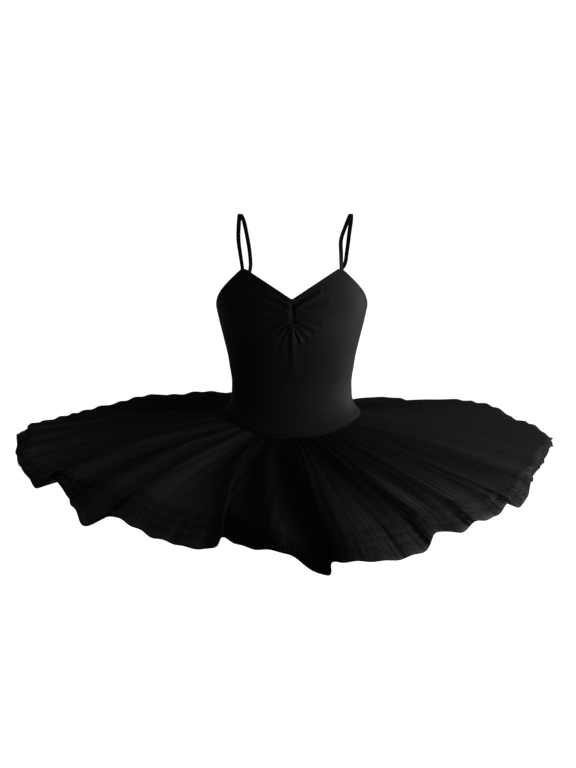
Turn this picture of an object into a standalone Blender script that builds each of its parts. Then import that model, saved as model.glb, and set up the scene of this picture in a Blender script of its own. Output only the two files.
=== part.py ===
"""A skirted leotard for ballet: a camisole bodice and brief with a gathered tulle skirt.

The garment keeps the hollow form it has when it is worn. It faces -Y, +X is the right side of a
front view, and +Z is up. The origin lies midway between the straps, level with the underside of
their tops, where the shoulders carry the garment. Sizes are in millimetres; heights in the tables
are measured from the waist.
"""

import math
from typing import NamedTuple

import bmesh
import bpy
from mathutils import Vector

MM = 0.001

# Cloth and trim
JERSEY = 1.5              # wall of the bodice and brief
NET = 1.2                 # wall of a tulle layer, measured straight down
SEAM_GAP = 0.3            # between neighbouring pieces
BINDING_WIDTH = 6.0
BINDING_PROUD = 0.4       # how far a binding stands out on each face of the panel
STRAP_WIDTH = 7.5
STRAP_THICKNESS = 1.5

# Heights above the waist
STRAP_TOP = 298.0         # underside of the straps where they pass over the shoulders
NECK_POINT = 168.5        # lowest point of the V neckline
STRAP_SEAT = 216.5        # front corner where the strap is sewn on
BACK_SEAT = 178.0         # back corner where the strap ends
UNDERARM = 140.0
SCOOP = 85.0              # lowest point of the back neckline
HIP_SEAM_SIDE = -49.0
HIP_SEAM_DIP = 22.0       # how much lower the hip seam runs at centre front and back
LEG_TOP = -134.0          # highest point of the leg openings, at the side seams
CROTCH = -239.0

# Angles round a section, in degrees from the centre front or the centre back
FRONT_SEAT_ANGLE = 43.2
BACK_SEAT_ANGLE = 36.5
SIDE_DEPTH = 80.0         # turns a gap at the side seams into an angle
TOP_DEPTH = 100.0         # turns a gap at the strap seats into an angle

# Top edge
NECK_LEVEL = 200.0        # height at which the neckline's distance from the middle is read
SEAT_OVERSHOOT_FRONT = 4.0   # how far past the strap seat the armhole's curve aims
SEAT_OVERSHOOT_BACK = 3.0
CORNER = 0.01             # keeps a panel's columns off the binding's own corners, in radians
NECK_SLOPE = 0.70
NECK_CURVE = 0.0012       # how fast the neckline's slope eases off, per millimetre
ARMHOLE_ROUNDING = 0.05   # rounds the armhole where front and back meet
SCOOP_POWER = 1.6

# Brief
GUSSET_HALF_ANGLE = 16.4
LEG_CURVE_FRONT = 1.7
LEG_CURVE_BACK = 1.1
BRIEF_COLUMNS = 16
BRIEF_LEVELS = (0.0, 0.3, 0.62, 1.0)
FALL_STEPS = 9

# Skirt
LAYERS = 4
ROOT_DROP = 3.0           # top layer's seam below the hip seam
ROOT_GAP = 0.5            # from the brief to the points of a layer's seam, whose chords come closer
ROOT_STEP = 10.0          # from one layer's seam to the next
RIM_STEP = 5.0            # from one layer's edge to the next
MEAN_REACH = 462.0
RINGS = (0.0, 0.2, 0.45, 0.72, 1.0)
NET_PANELS = ("back_left", "front_left", "front_right", "back_right")   # sewn into each layer


class Rim(NamedTuple):
    """Mean height of the top layer's edge at a bearing."""

    bearing: float
    height: float


RIM = (
    Rim(-180, -133),
    Rim(-165, -126),
    Rim(-150, -117),
    Rim(-125, -109),
    Rim(-100, -94),
    Rim(-80, -110),
    Rim(-60, -110),
    Rim(-45, -121),
    Rim(-30, -127),
    Rim(-15, -137),
    Rim(-4, -138),
    Rim(6, -141),
    Rim(16, -138),
    Rim(27, -127),
    Rim(40, -120),
    Rim(55, -106),
    Rim(70, -104),
    Rim(90, -105),
    Rim(110, -107),
    Rim(125, -105),
    Rim(138, -115),
    Rim(150, -128),
    Rim(165, -135),
    Rim(180, -133),
)


class Section(NamedTuple):
    """A level section of the body: an ellipse with one depth in front and one behind."""

    height: float
    half_width: float
    front: float
    back: float


SECTIONS = (
    Section(-134, 124.0, 96, 102),
    Section(-108, 124.0, 96, 102),
    Section(-80, 122.5, 94, 99),
    Section(-49, 121.0, 92, 96),
    Section(-38, 112.0, 86, 87),
    Section(-25, 106.5, 80, 78),
    Section(-8, 105.0, 76, 72),
    Section(11, 105.0, 75, 70),
    Section(33, 108.3, 79, 72),
    Section(54, 111.5, 85, 75),
    Section(76, 116.5, 92, 79),
    Section(97, 121.5, 97, 82),
    Section(118, 126.5, 99, 85),
    Section(140, 130.5, 98, 87),
    Section(170, 131.0, 97, 88),
    Section(190, 128.0, 97, 88),
    Section(205, 125.5, 97, 88),
    Section(225, 123.0, 97, 88),
)


class Crease(NamedTuple):
    """A soft fold of the gathered centre front, from its deep end to its shallow end."""

    x_start: float
    z_start: float
    x_end: float
    z_end: float
    rise: float
    spread: float


# Ridges stand out from the panel; the gathers between them stay at its level.
CREASES = (
    Crease(-3, 156, -60, 187, 2.0, 4.0),
    Crease(-3, 142, -64, 166, 2.4, 4.0),
    Crease(-3, 131, -56, 144, 2.4, 3.6),
    Crease(-3, 122, -50, 124, 2.0, 3.6),
    Crease(-3, 116, -38, 101, 2.2, 3.2),
    Crease(-3, 110, -22, 86, 2.2, 3.0),
    Crease(3, 156, 58, 184, 1.8, 4.2),
    Crease(3, 142, 62, 163, 2.2, 4.2),
    Crease(3, 131, 58, 141, 2.2, 3.8),
    Crease(3, 122, 48, 121, 1.8, 3.6),
    Crease(3, 116, 38, 99, 2.2, 3.2),
    Crease(4, 110, 20, 84, 2.2, 3.0),
    Crease(-7, 104, -7, 52, 1.4, 3.4),
    Crease(7, 104, 8, 58, 1.4, 3.4),
)


class Fold(NamedTuple):
    """A ridge or trough line of the skirt, from its seam to its edge; bearing 0 is the front."""

    root_bearing: float
    rim_bearing: float
    height: float
    reach: float


FOLDS = (
    Fold(-180, -180, -4, 462),
    Fold(-172, -172, 4, 468),
    Fold(-165, -165, 1, 458),
    Fold(-157, -157, 4, 466),
    Fold(-150, -150, 0, 459),
    Fold(-143, -142, 4, 470),
    Fold(-136, -134, 1, 464),
    Fold(-129, -127, -2, 476),
    Fold(-122, -119, -4, 470),
    Fold(-115, -111, -4, 480),
    Fold(-108, -104, -3, 496),
    Fold(-102, -97, 6, 497),
    Fold(-96, -91, -3, 488),
    Fold(-91, -85, 4, 482),
    Fold(-86, -79.5, -3, 472),
    Fold(-81, -74, 10, 474),
    Fold(-75, -66, -7, 463),
    Fold(-69, -61.5, 12, 445),
    Fold(-63, -55.5, -4, 443),
    Fold(-57, -49.5, 3, 461),
    Fold(-51, -43.2, -9, 473),
    Fold(-46, -39.5, 3, 443),
    Fold(-40, -28, -7, 452),
    Fold(-33, -15.8, 1, 464),
    Fold(-29, -14, -2, 418),
    Fold(-24, -9.5, -7, 433),
    Fold(-18, -1.2, -3, 454),
    Fold(-10, 5.9, -12, 501),
    Fold(-3, 7.2, -1, 482),
    Fold(5, 10.4, 3, 490),
    Fold(15, 23.1, -7, 489),
    Fold(22, 29.4, 1, 458),
    Fold(29, 34, -5, 467),
    Fold(37, 38.8, 2, 463),
    Fold(45, 44.5, -5, 463),
    Fold(52, 48.5, 3, 458),
    Fold(58, 52.5, -11, 465),
    Fold(65, 59.5, 5, 454),
    Fold(71, 67, -1, 438),
    Fold(77, 74, 3, 440),
    Fold(84, 81, -3, 442),
    Fold(91, 88.5, 3, 453),
    Fold(99, 97, -2, 472),
    Fold(107, 105, 2, 458),
    Fold(115, 113, -4, 450),
    Fold(123, 121, 2, 458),
    Fold(131, 129.5, 2, 454),
    Fold(139, 138, 2, 462),
    Fold(147, 146, -4, 456),
    Fold(155, 155, 4, 464),
    Fold(163, 163, -4, 458),
    Fold(172, 172, 4, 466),
)


class StrapPoint(NamedTuple):
    """A point on a strap's middle line.

    Turn is the angle of the strap's width about the vertical, and lean is how far both loops
    sway to the right there.
    """

    x: float
    y: float
    height: float
    turn: float
    lean: float


STRAP_ROUTE = (
    StrapPoint(84.8, -62.0, 240.0, 24, -2),
    StrapPoint(86.6, -48.0, 262.0, 14, -3.5),
    StrapPoint(91.0, -28.0, 284.0, 6, 1),
    StrapPoint(94.5, -2.0, STRAP_TOP + STRAP_THICKNESS / 2, 0, 6),
    StrapPoint(92.5, 24.0, 284.0, -6, 9.5),
    StrapPoint(89.2, 44.0, 258.0, -13, 10.7),
    StrapPoint(85.5, 60.0, 226.0, -21, 11.5),
    StrapPoint(82.5, 69.0, 198.0, -28, 10),
)
STRAP_STEPS = 4           # straight lengths between two points of the route


def interpolate(rows, key, value, at):
    """Smooth value through a table's rows, with slopes taken from the neighbouring rows."""
    at = min(max(at, getattr(rows[0], key)), getattr(rows[-1], key))
    i = 0
    while i < len(rows) - 2 and at > getattr(rows[i + 1], key):
        i += 1

    def slope(n):
        a, b = rows[max(n - 1, 0)], rows[min(n + 1, len(rows) - 1)]
        return (getattr(b, value) - getattr(a, value)) / (getattr(b, key) - getattr(a, key))

    lower, upper = rows[i], rows[i + 1]
    span = getattr(upper, key) - getattr(lower, key)
    t = (at - getattr(lower, key)) / span
    start = getattr(lower, value)
    rise = getattr(upper, value) - start
    early, late = slope(i) * span - rise, slope(i + 1) * span - rise
    return start + t * rise + t * (1 - t) * ((1 - t) * early - t * late)


def hip_seam(angle):
    """Height of the seam between bodice and brief at an angle round the section."""
    return HIP_SEAM_SIDE - HIP_SEAM_DIP * math.cos(angle) ** 2


def section_height(angle, z):
    """Table height for a point: below the waist the sections follow the dipping hip seam."""
    if z >= 0:
        return z
    seam = hip_seam(angle)
    if z > seam:
        return z * HIP_SEAM_SIDE / seam
    return z - seam + HIP_SEAM_SIDE


def body_point(angle, z):
    """Point on the garment's outer face at an angle (0 front, pi back) and a height."""
    height = section_height(angle, z)
    half_width = interpolate(SECTIONS, "height", "half_width", height)
    depth = interpolate(SECTIONS, "height", "front" if math.cos(angle) > 0 else "back", height)
    return Vector((half_width * math.sin(angle), -depth * math.cos(angle), z))


def body_normal(angle, z):
    """Direction straight out of the garment's outer face."""
    step = 0.01
    round_body = body_point(angle + step, z) - body_point(angle - step, z)
    up_body = body_point(angle, z + 0.5) - body_point(angle, z - 0.5)
    return round_body.cross(up_body).normalized()


def armhole_rise(share):
    """Share of the armhole's height at a share of the way from the underarm to the seat."""
    return math.hypot(share, ARMHOLE_ROUNDING) - ARMHOLE_ROUNDING


def front_edge(angle):
    """Height of the front's top edge: the V neckline, the strap seat and the armhole."""
    degrees = math.degrees(math.acos(math.cos(angle)))
    if degrees < FRONT_SEAT_ANGLE:
        x = abs(body_point(angle, NECK_LEVEL).x)
        return min(NECK_POINT + NECK_SLOPE * x - NECK_CURVE * x * x, STRAP_SEAT)
    share = (90 - degrees) / (90 - FRONT_SEAT_ANGLE)
    return min(UNDERARM + (STRAP_SEAT + SEAT_OVERSHOOT_FRONT - UNDERARM) * armhole_rise(share), STRAP_SEAT)


def back_edge(angle):
    """Height of the back's top edge: the scooped neckline, the strap seat and the armhole."""
    degrees = 180 - math.degrees(math.acos(math.cos(angle)))
    if degrees < BACK_SEAT_ANGLE:
        return SCOOP + (BACK_SEAT - SCOOP) * (degrees / BACK_SEAT_ANGLE) ** SCOOP_POWER
    share = (90 - degrees) / (90 - BACK_SEAT_ANGLE)
    return min(UNDERARM + (BACK_SEAT + SEAT_OVERSHOOT_BACK - UNDERARM) * armhole_rise(share), BACK_SEAT)


def edge_height(angle):
    """Height of the garment's top edge at any angle."""
    return front_edge(angle) if math.cos(angle) > 1e-9 else back_edge(angle)


def below_edge(angle, width, side):
    """Height of the line a given width inside the top edge, beside a corner on one side of it."""
    step = math.radians(1.0)
    near, far = edge_height(angle), edge_height(angle + side * step)
    run = (body_point(angle + side * step, near) - body_point(angle, near)).length
    slope = (far - near) / run
    return near - width * math.hypot(1, slope)


def crease_rise(x, z):
    """How far the gathered front stands out at a point."""
    total = 0.0
    for crease in CREASES:
        dx, dz = crease.x_end - crease.x_start, crease.z_end - crease.z_start
        length = math.hypot(dx, dz)
        along = ((x - crease.x_start) * dx + (z - crease.z_start) * dz) / length ** 2
        across = ((x - crease.x_start) * dz - (z - crease.z_start) * dx) / length
        if -0.05 < along < 1.0:
            fade = math.sin(math.pi * min(max(along + 0.05, 0) / 0.25, 1) / 2) * (1 - max(along, 0)) ** 0.8
            spread = crease.spread * (0.8 + 0.7 * max(along, 0))
            total = max(total, crease.rise * fade * math.exp(-(across / spread) ** 2))
    return total


def wall_object(name, outer, inner, material, closed=False):
    """Closed wall between two matching grids of points; closed joins each row's ends."""
    mesh = bmesh.new()
    rows, columns = len(outer), len(outer[0])
    grids = [[[mesh.verts.new(point) for point in row] for row in grid] for grid in (outer, inner)]
    spans = columns if closed else columns - 1
    for grid in grids:
        for j in range(rows - 1):
            for i in range(spans):
                n = (i + 1) % columns
                mesh.faces.new((grid[j][i], grid[j][n], grid[j + 1][n], grid[j + 1][i]))
    top, under = grids
    for j in (0, rows - 1):
        for i in range(spans):
            n = (i + 1) % columns
            mesh.faces.new((top[j][i], top[j][n], under[j][n], under[j][i]))
    if not closed:
        for i in (0, columns - 1):
            for j in range(rows - 1):
                mesh.faces.new((top[j][i], top[j + 1][i], under[j + 1][i], under[j][i]))
    bmesh.ops.recalc_face_normals(mesh, faces=mesh.faces)
    return finish_object(name, mesh, material)


def finish_object(name, mesh, material):
    """Object from a mesh in millimetres above the waist, moved down to the part's frame."""
    bmesh.ops.translate(mesh, verts=mesh.verts, vec=(0, 0, -STRAP_TOP))
    bmesh.ops.scale(mesh, verts=mesh.verts, vec=(MM, MM, MM))
    data = bpy.data.meshes.new(name)
    mesh.to_mesh(data)
    mesh.free()
    data.materials.append(material)
    data.shade_smooth()
    data.set_sharp_from_angle(angle=math.radians(50))
    made = bpy.data.objects.new(name, data)
    bpy.context.collection.objects.link(made)
    return made


def make_material(name, colour, roughness):
    """Plain cloth material."""
    material = bpy.data.materials.new(name)
    material.use_nodes = True
    shader = material.node_tree.nodes["Principled BSDF"]
    shader.inputs["Base Color"].default_value = (*colour, 1)
    shader.inputs["Roughness"].default_value = roughness
    shader.inputs["Metallic"].default_value = 0.0
    return material


def spread(start, end, count, ease=1.0):
    """Values from start to end; an ease above 1 packs them close to the start."""
    return [start + (end - start) * (n / count) ** ease for n in range(count + 1)]


def front_angles():
    """Angles of the front panel's columns, close together over the gathers."""
    gap = SEAM_GAP / 2 / SIDE_DEPTH
    seat = math.radians(FRONT_SEAT_ANGLE)
    half = spread(0, seat, 13, 1.35) + spread(seat, math.pi / 2 - gap, 7)[1:]
    return [-angle for angle in reversed(half[1:])] + half


def back_angles():
    """Angles of the back panel's columns, from one side seam round the back to the other."""
    gap = SEAM_GAP / 2 / SIDE_DEPTH
    seat = math.pi - math.radians(BACK_SEAT_ANGLE)
    half = spread(math.pi / 2 + gap, seat, 6) + spread(seat, math.pi, 7)[1:]
    return half + [2 * math.pi - angle for angle in reversed(half[:-1])]


def bodice_panel(name, angles, rows, material, gathered):
    """Front or back of the bodice, from the hip seam to just inside the binding."""
    outer, inner = [], []
    for share in rows:
        outer.append([])
        inner.append([])
        for angle in angles:
            width = BINDING_WIDTH + SEAM_GAP
            top = min(below_edge(angle, width, 1), below_edge(angle, width, -1))
            bottom = hip_seam(angle)
            z = bottom + (top - bottom) * share
            point, normal = body_point(angle, z), body_normal(angle, z)
            rise = crease_rise(point.x, z) * min(1, (top - z) / 8) if gathered else 0.0
            outer[-1].append(point + normal * rise)
            inner[-1].append(point - normal * JERSEY)
    return wall_object(name, outer, inner, material)


def edge_binding(name, stations, material):
    """Binding along a top edge; a station is an angle and the side its slope is read on."""
    rows = [[], [], [], []]
    for angle, side in stations:
        top = edge_height(angle)
        bottom = below_edge(angle, BINDING_WIDTH, side)
        corners = ((top, BINDING_PROUD), (bottom, BINDING_PROUD),
                   (bottom, -JERSEY - BINDING_PROUD), (top, -JERSEY - BINDING_PROUD))
        for row, (z, proud) in zip(rows, corners):
            row.append(body_point(angle, z) + body_normal(angle, z) * proud)
    outer = [rows[0], rows[1]]
    inner = [rows[3], rows[2]]
    return wall_object(name, outer, inner, material)


def brief_point(front, fall, across):
    """Point below the leg tops: fall turns from level to straight down, across runs to the sides."""
    last = SECTIONS[0]
    depth = -last.front if front else last.back
    return Vector((last.half_width * math.sin(across),
                   depth * math.cos(across) * math.cos(fall),
                   LEG_TOP + (CROTCH - LEG_TOP) * math.cos(across) * math.sin(fall)))


def brief_normal(front, fall, across):
    """Direction straight out of the brief below the leg tops."""
    last = SECTIONS[0]
    depth = last.front if front else last.back
    point = brief_point(front, fall, across)
    return Vector((point.x / last.half_width ** 2, point.y / depth ** 2,
                   (point.z - LEG_TOP) / (CROTCH - LEG_TOP) ** 2)).normalized()


def leg_edge(front, fall):
    """How far across the brief reaches at a fall angle, both in radians."""
    power = LEG_CURVE_FRONT if front else LEG_CURVE_BACK
    open_share = (1 - fall / (math.pi / 2)) ** power
    return math.radians(GUSSET_HALF_ANGLE + (90 - GUSSET_HALF_ANGLE) * open_share)


def fall_angles():
    """Angles of the brief's rows below the leg tops, down to the crotch."""
    return [math.pi / 2 * n / FALL_STEPS for n in range(FALL_STEPS + 1)]


def brief_panel(name, front, material):
    """Front or back of the brief, from the hip seam to the crotch seam."""
    gap = SEAM_GAP / 2 / SIDE_DEPTH
    outer, inner = [], []
    for level in BRIEF_LEVELS:
        outer.append([])
        inner.append([])
        for n in range(BRIEF_COLUMNS + 1):
            angle = (math.pi / 2 - gap) * (2 * n / BRIEF_COLUMNS - 1)
            if not front:
                angle = math.pi - angle
            top = hip_seam(angle) - SEAM_GAP
            z = top + (LEG_TOP - top) * level
            point, normal = body_point(angle, z), body_normal(angle, z)
            outer[-1].append(point)
            inner[-1].append(point - normal * JERSEY)
    for fall in fall_angles()[1:]:
        outer.append([])
        inner.append([])
        fall = min(fall, math.pi / 2 - gap)
        reach = leg_edge(front, fall)
        for n in range(BRIEF_COLUMNS + 1):
            across = reach * (2 * n / BRIEF_COLUMNS - 1)
            point, normal = brief_point(front, fall, across), brief_normal(front, fall, across)
            outer[-1].append(point)
            inner[-1].append(point - normal * JERSEY)
    return wall_object(name, outer, inner, material)


def leg_binding(name, side, material):
    """Binding round a leg opening: side is 1 or -1. It lies just outside the brief's edge."""
    stations = [(True, fall) for fall in reversed(fall_angles())]
    stations += [(False, fall) for fall in fall_angles()[1:-1]]
    edge, normals = [], []
    for front, fall in stations:
        across = min(leg_edge(front, fall), math.radians(89.9)) * side
        edge.append(brief_point(front, fall, across))
        normals.append(brief_normal(front, fall, across))
    rows = [[], [], [], []]
    for n, (point, normal) in enumerate(zip(edge, normals)):
        along = (edge[(n + 1) % len(edge)] - edge[n - 1]).normalized()
        outward = along.cross(normal).normalized() * side
        offsets = ((SEAM_GAP, BINDING_PROUD), (BINDING_WIDTH, BINDING_PROUD),
                   (BINDING_WIDTH, -JERSEY - BINDING_PROUD), (SEAM_GAP, -JERSEY - BINDING_PROUD))
        for row, (out, proud) in zip(rows, offsets):
            row.append(point + outward * out + normal * proud)
    return wall_object(name, [rows[0], rows[1]], [rows[3], rows[2]], material, closed=True)


def strap(name, side, material):
    """Flat elastic from the front seat over the shoulder to the back seat."""
    seats = []
    for angle, height in ((math.radians(FRONT_SEAT_ANGLE), STRAP_SEAT),
                          (math.pi - math.radians(BACK_SEAT_ANGLE), BACK_SEAT)):
        point = body_point(angle, height) - body_normal(angle, height) * JERSEY / 2
        round_body = body_point(angle + 0.01, height) - body_point(angle - 0.01, height)
        turn = math.degrees(math.atan2(round_body.y, round_body.x))
        turn = turn - 180 if turn > 90 else turn
        seats.append(StrapPoint(point.x, point.y, height + SEAM_GAP, turn, 0))
    route = [seats[0], *STRAP_ROUTE, seats[1]]
    points = []
    for n in range(len(route) - 1):
        before, start, end, after = (route[max(n - 1, 0)], route[n], route[n + 1],
                                     route[min(n + 2, len(route) - 1)])
        for step in range(STRAP_STEPS + (n == len(route) - 2)):
            t = step / STRAP_STEPS
            points.append([0.5 * (2 * b + t * (c - a) + t * t * (2 * a - 5 * b + 4 * c - d)
                                  + t ** 3 * (3 * b - a - 3 * c + d))
                           for a, b, c, d in zip(before, start, end, after)])
    outer, inner = [[], []], [[], []]
    for n, (x, y, z, turn, lean) in enumerate(points):
        centre = Vector((x, y, z))
        width = Vector((math.cos(math.radians(turn)), math.sin(math.radians(turn)), 0))
        ahead = Vector(points[min(n + 1, len(points) - 1)][:3]) - Vector(points[max(n - 1, 0)][:3])
        if n in (0, len(points) - 1):
            ahead = Vector((0, 0, 1 if n == 0 else -1))
        face = width.cross(ahead).normalized()
        for row, across in zip((0, 1), (-1, 1)):
            for grid, out in ((outer, 1), (inner, -1)):
                point = centre + width * across * STRAP_WIDTH / 2 + face * out * STRAP_THICKNESS / 2
                grid[row].append(Vector((point.x * side + lean, point.y, point.z)))
    return wall_object(name, outer, inner, material)


def skirt_columns():
    """Fold rows with one more row half way to each next one, all round."""
    columns = []
    for n, fold in enumerate(FOLDS):
        after = FOLDS[(n + 1) % len(FOLDS)]
        turn = 360 if n == len(FOLDS) - 1 else 0
        columns.append(fold)
        columns.append(Fold((fold.root_bearing + after.root_bearing + turn) / 2,
                            (fold.rim_bearing + after.rim_bearing + turn) / 2,
                            (fold.height + after.height) / 2,
                            (fold.reach + after.reach) / 2))
    return columns


class Layer(NamedTuple):
    """How a tulle layer's edge differs: its length, how far it follows a long petal, its waves."""

    longer: float
    petals: float
    waves: int
    wave: float


LAYER_EDGES = (
    Layer(-2, 0.55, 17, 4.0),
    Layer(-4, 0.65, 13, 4.0),
    Layer(-2, 0.80, 19, 3.0),
    Layer(0, 1.00, 0, 0.0),
)


def skirt_point(column, share, layer):
    """Point on a tulle layer's upper face: share runs from its seam to its edge."""
    edge = LAYER_EDGES[layer]
    rim_bearing, root = math.radians(column.rim_bearing), math.radians(column.root_bearing)
    drop = ROOT_DROP + ROOT_STEP * layer
    level = HIP_SEAM_SIDE - drop
    half_width = interpolate(SECTIONS, "height", "half_width", level)
    depth = interpolate(SECTIONS, "height", "front" if math.cos(root) > 0 else "back", level)
    angle = math.atan2(math.sin(root) / half_width, math.cos(root) / depth)
    root_z = hip_seam(angle) - drop
    seat = body_point(angle, root_z) + body_normal(angle, root_z) * ROOT_GAP
    root_radius = math.hypot(seat.x, seat.y)
    petals = edge.petals if column.reach > MEAN_REACH else 1
    reach = (MEAN_REACH + edge.longer + petals * (column.reach - MEAN_REACH)
             + edge.wave * math.sin(edge.waves * rim_bearing + layer))
    radius = root_radius + (reach - root_radius) * share
    full = (radius - root_radius) / (MEAN_REACH - root_radius)
    bearing = rim_bearing + (root - rim_bearing) * max(1 - full, 0) ** 1.5
    rim_z = interpolate(RIM, "bearing", "height", column.rim_bearing) - RIM_STEP * layer
    amplitude = 0.12 + 0.88 * math.sin(math.pi / 2 * min(full / 0.7, 1)) ** 1.3
    z = root_z + (rim_z - root_z) * (0.6 * full + 0.4 * full ** 2) + column.height * amplitude
    return Vector((radius * math.sin(bearing), -radius * math.cos(bearing), z))


def tulle_layer(layer, material):
    """The panels of one gathered layer of the skirt, from the centre back all round the brief."""
    columns = skirt_columns()
    columns.append(columns[0]._replace(root_bearing=columns[0].root_bearing + 360,
                                       rim_bearing=columns[0].rim_bearing + 360))
    per_panel = len(columns) // len(NET_PANELS)
    for n, panel in enumerate(NET_PANELS):
        own = columns[n * per_panel:(n + 1) * per_panel + 1]
        outer = [[skirt_point(column, share, layer) for column in own] for share in RINGS]
        for row in outer:
            for end, beside in ((0, 1), (-1, -2)):
                row[end] = row[end] + (row[beside] - row[end]).normalized() * SEAM_GAP / 2
        inner = [[point - Vector((0, 0, NET)) for point in row] for row in outer]
        wall_object(f"tulle_layer_{layer + 1}_{panel}", outer, inner, material)


def bindings(jersey_trim):
    """Neckline, armhole and leg bindings, mitred where they meet at the strap seats."""
    gap = SEAM_GAP / 2 / TOP_DEPTH
    fronts, backs = front_angles(), back_angles()
    seat = math.radians(FRONT_SEAT_ANGLE)
    back_seat = math.pi - math.radians(BACK_SEAT_ANGLE)
    neck = [(-seat + gap, 1)]
    neck += [(a, 1 if a < 0 else -1) for a in fronts if abs(a) < seat - CORNER]
    neck += [(seat - gap, -1)]
    edge_binding("neck_binding_front", neck, jersey_trim)
    scoop = [(back_seat + gap, 1)]
    scoop += [(a, 1 if a < math.pi else -1) for a in backs if abs(a - math.pi) < math.pi - back_seat - CORNER]
    scoop += [(2 * math.pi - back_seat - gap, -1)]
    edge_binding("neck_binding_back", scoop, jersey_trim)
    armhole = [(seat + gap, 1)]
    armhole += [(a, 1) for a in fronts if seat + CORNER < a < math.pi / 2 - 5 * CORNER]
    armhole += [(math.pi / 2, 1)]
    armhole += [(a, -1) for a in backs if math.pi / 2 + 5 * CORNER < a < back_seat - CORNER]
    armhole += [(back_seat - gap, -1)]
    edge_binding("armhole_binding_right", armhole, jersey_trim)
    edge_binding("armhole_binding_left", [(-a, -side) for a, side in reversed(armhole)], jersey_trim)
    leg_binding("leg_binding_right", 1, jersey_trim)
    leg_binding("leg_binding_left", -1, jersey_trim)


def main():
    """Builds every piece of the garment."""
    for old in list(bpy.data.objects):
        bpy.data.objects.remove(old, do_unlink=True)
    jersey = make_material("black stretch jersey", (0.012, 0.012, 0.013), 0.62)
    elastic = make_material("black elastic trim", (0.010, 0.010, 0.011), 0.5)
    tulle = make_material("black tulle", (0.016, 0.016, 0.017), 0.75)
    bodice_panel("bodice_front", front_angles(), spread(1, 0, 25, 1.25), jersey, True)
    bodice_panel("bodice_back", back_angles(), spread(1, 0, 10), jersey, False)
    brief_panel("brief_front", True, jersey)
    brief_panel("brief_back", False, jersey)
    bindings(elastic)
    strap("strap_right", 1, elastic)
    strap("strap_left", -1, elastic)
    for layer in range(LAYERS):
        tulle_layer(layer, tulle)


main()
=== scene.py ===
"""Dresses the skirted leotard: jersey bodice and brief, elastic straps and four layers of net.

The garment faces -Y, +X is the right side of a front view and +Z is up. Its forms are given in
millimetres above the waist, as in the part's source, and moved down to the part's own frame when
a mesh is made.
"""

import logging
import math
from dataclasses import astuple, dataclass, field
from enum import Enum
from functools import cached_property
from typing import ClassVar, Optional, Sequence

import bmesh
import bpy
import numpy as np
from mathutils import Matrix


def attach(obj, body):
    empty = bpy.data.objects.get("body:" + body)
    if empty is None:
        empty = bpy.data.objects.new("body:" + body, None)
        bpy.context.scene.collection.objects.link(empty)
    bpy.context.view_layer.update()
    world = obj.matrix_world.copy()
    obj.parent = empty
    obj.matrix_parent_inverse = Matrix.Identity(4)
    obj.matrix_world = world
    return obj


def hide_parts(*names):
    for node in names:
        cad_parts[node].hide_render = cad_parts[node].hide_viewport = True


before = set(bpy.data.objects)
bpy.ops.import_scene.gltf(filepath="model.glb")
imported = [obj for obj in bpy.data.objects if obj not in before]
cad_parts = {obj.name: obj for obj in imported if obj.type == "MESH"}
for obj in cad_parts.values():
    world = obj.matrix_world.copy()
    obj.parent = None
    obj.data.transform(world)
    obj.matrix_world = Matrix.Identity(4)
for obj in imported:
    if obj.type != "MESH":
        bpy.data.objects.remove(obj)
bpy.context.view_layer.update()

Array = np.ndarray
LOG = logging.getLogger("leotard")

MM = 0.001
STRAP_TOP = 298.0         # height of the part's origin above the waist
JERSEY_WALL = 1.3
NET_WALL = 0.4
SEAM_LAP = 0.12           # overlap of neighbouring pieces at a seam
PANEL_LAP = SEAM_LAP / 2 / 80.0       # half of it as an angle, 80 mm from the body's middle
BINDING_LAP = SEAM_LAP / 2 / 100.0    # the same, 100 mm from the middle
BINDING_WIDTH = 6.0
BINDING_PROUD = 0.4
BINDING_INNER = -1.5 - BINDING_PROUD  # inner face of a binding, measured out of the cloth
GROOVE = 0.25             # depth of the furrow that a row of stitches pulls
THREAD_SUNK = 0.1         # how far a thread lies in the face that it is sewn through
SEAM_DIP = 0.5            # how far the jersey dips along a seam
SEAM_BREADTH = 2.2
STITCH_SIDES = 6
STITCH_STATIONS = ((-0.42, 0.35), (-0.3, 1.0), (0.3, 1.0), (0.42, 0.35))  # share of pitch, share of girth
CLOTH_UV = "cloth"


class Slot(Enum):
    """Material slots of the part's record."""

    JERSEY = "jersey"
    BINDING = "binding"
    ELASTIC = "strap_elastic"
    TULLE = "tulle"


class Hold(Enum):
    """How a sheet of cloth is held."""

    STRETCHED = "stretched"
    GATHERED = "gathered"


class Side(Enum):
    """Side of the garment in a front view."""

    LEFT = -1
    RIGHT = 1


@dataclass(frozen=True)
class SmoothTable:
    """Smooth curve through a table's rows, with slopes taken from the neighbouring rows."""

    keys: tuple[float, ...]
    values: tuple[float, ...]

    def read(self, at: Array) -> Array:
        """Reads the curve.

        Args:
            at: Places to read it at, held inside the table.

        Returns:
            The curve's value at each place.
        """
        keys, values = np.array(self.keys), np.array(self.values)
        last = len(keys) - 1
        at = np.clip(at, keys[0], keys[-1])
        row = np.clip(np.searchsorted(keys, at, side="left") - 1, 0, last - 1)
        ahead = np.minimum(np.arange(last + 1) + 1, last)
        behind = np.maximum(np.arange(last + 1) - 1, 0)
        slopes = (values[ahead] - values[behind]) / (keys[ahead] - keys[behind])
        span = keys[row + 1] - keys[row]
        t = (at - keys[row]) / span
        rise = values[row + 1] - values[row]
        early, late = slopes[row] * span - rise, slopes[row + 1] * span - rise
        return values[row] + t * rise + t * (1 - t) * ((1 - t) * early - t * late)


def unit(vectors: Array) -> Array:
    """Vectors scaled to length one along the last axis."""
    return vectors / np.maximum(np.linalg.norm(vectors, axis=-1, keepdims=True), 1e-12)


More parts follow.
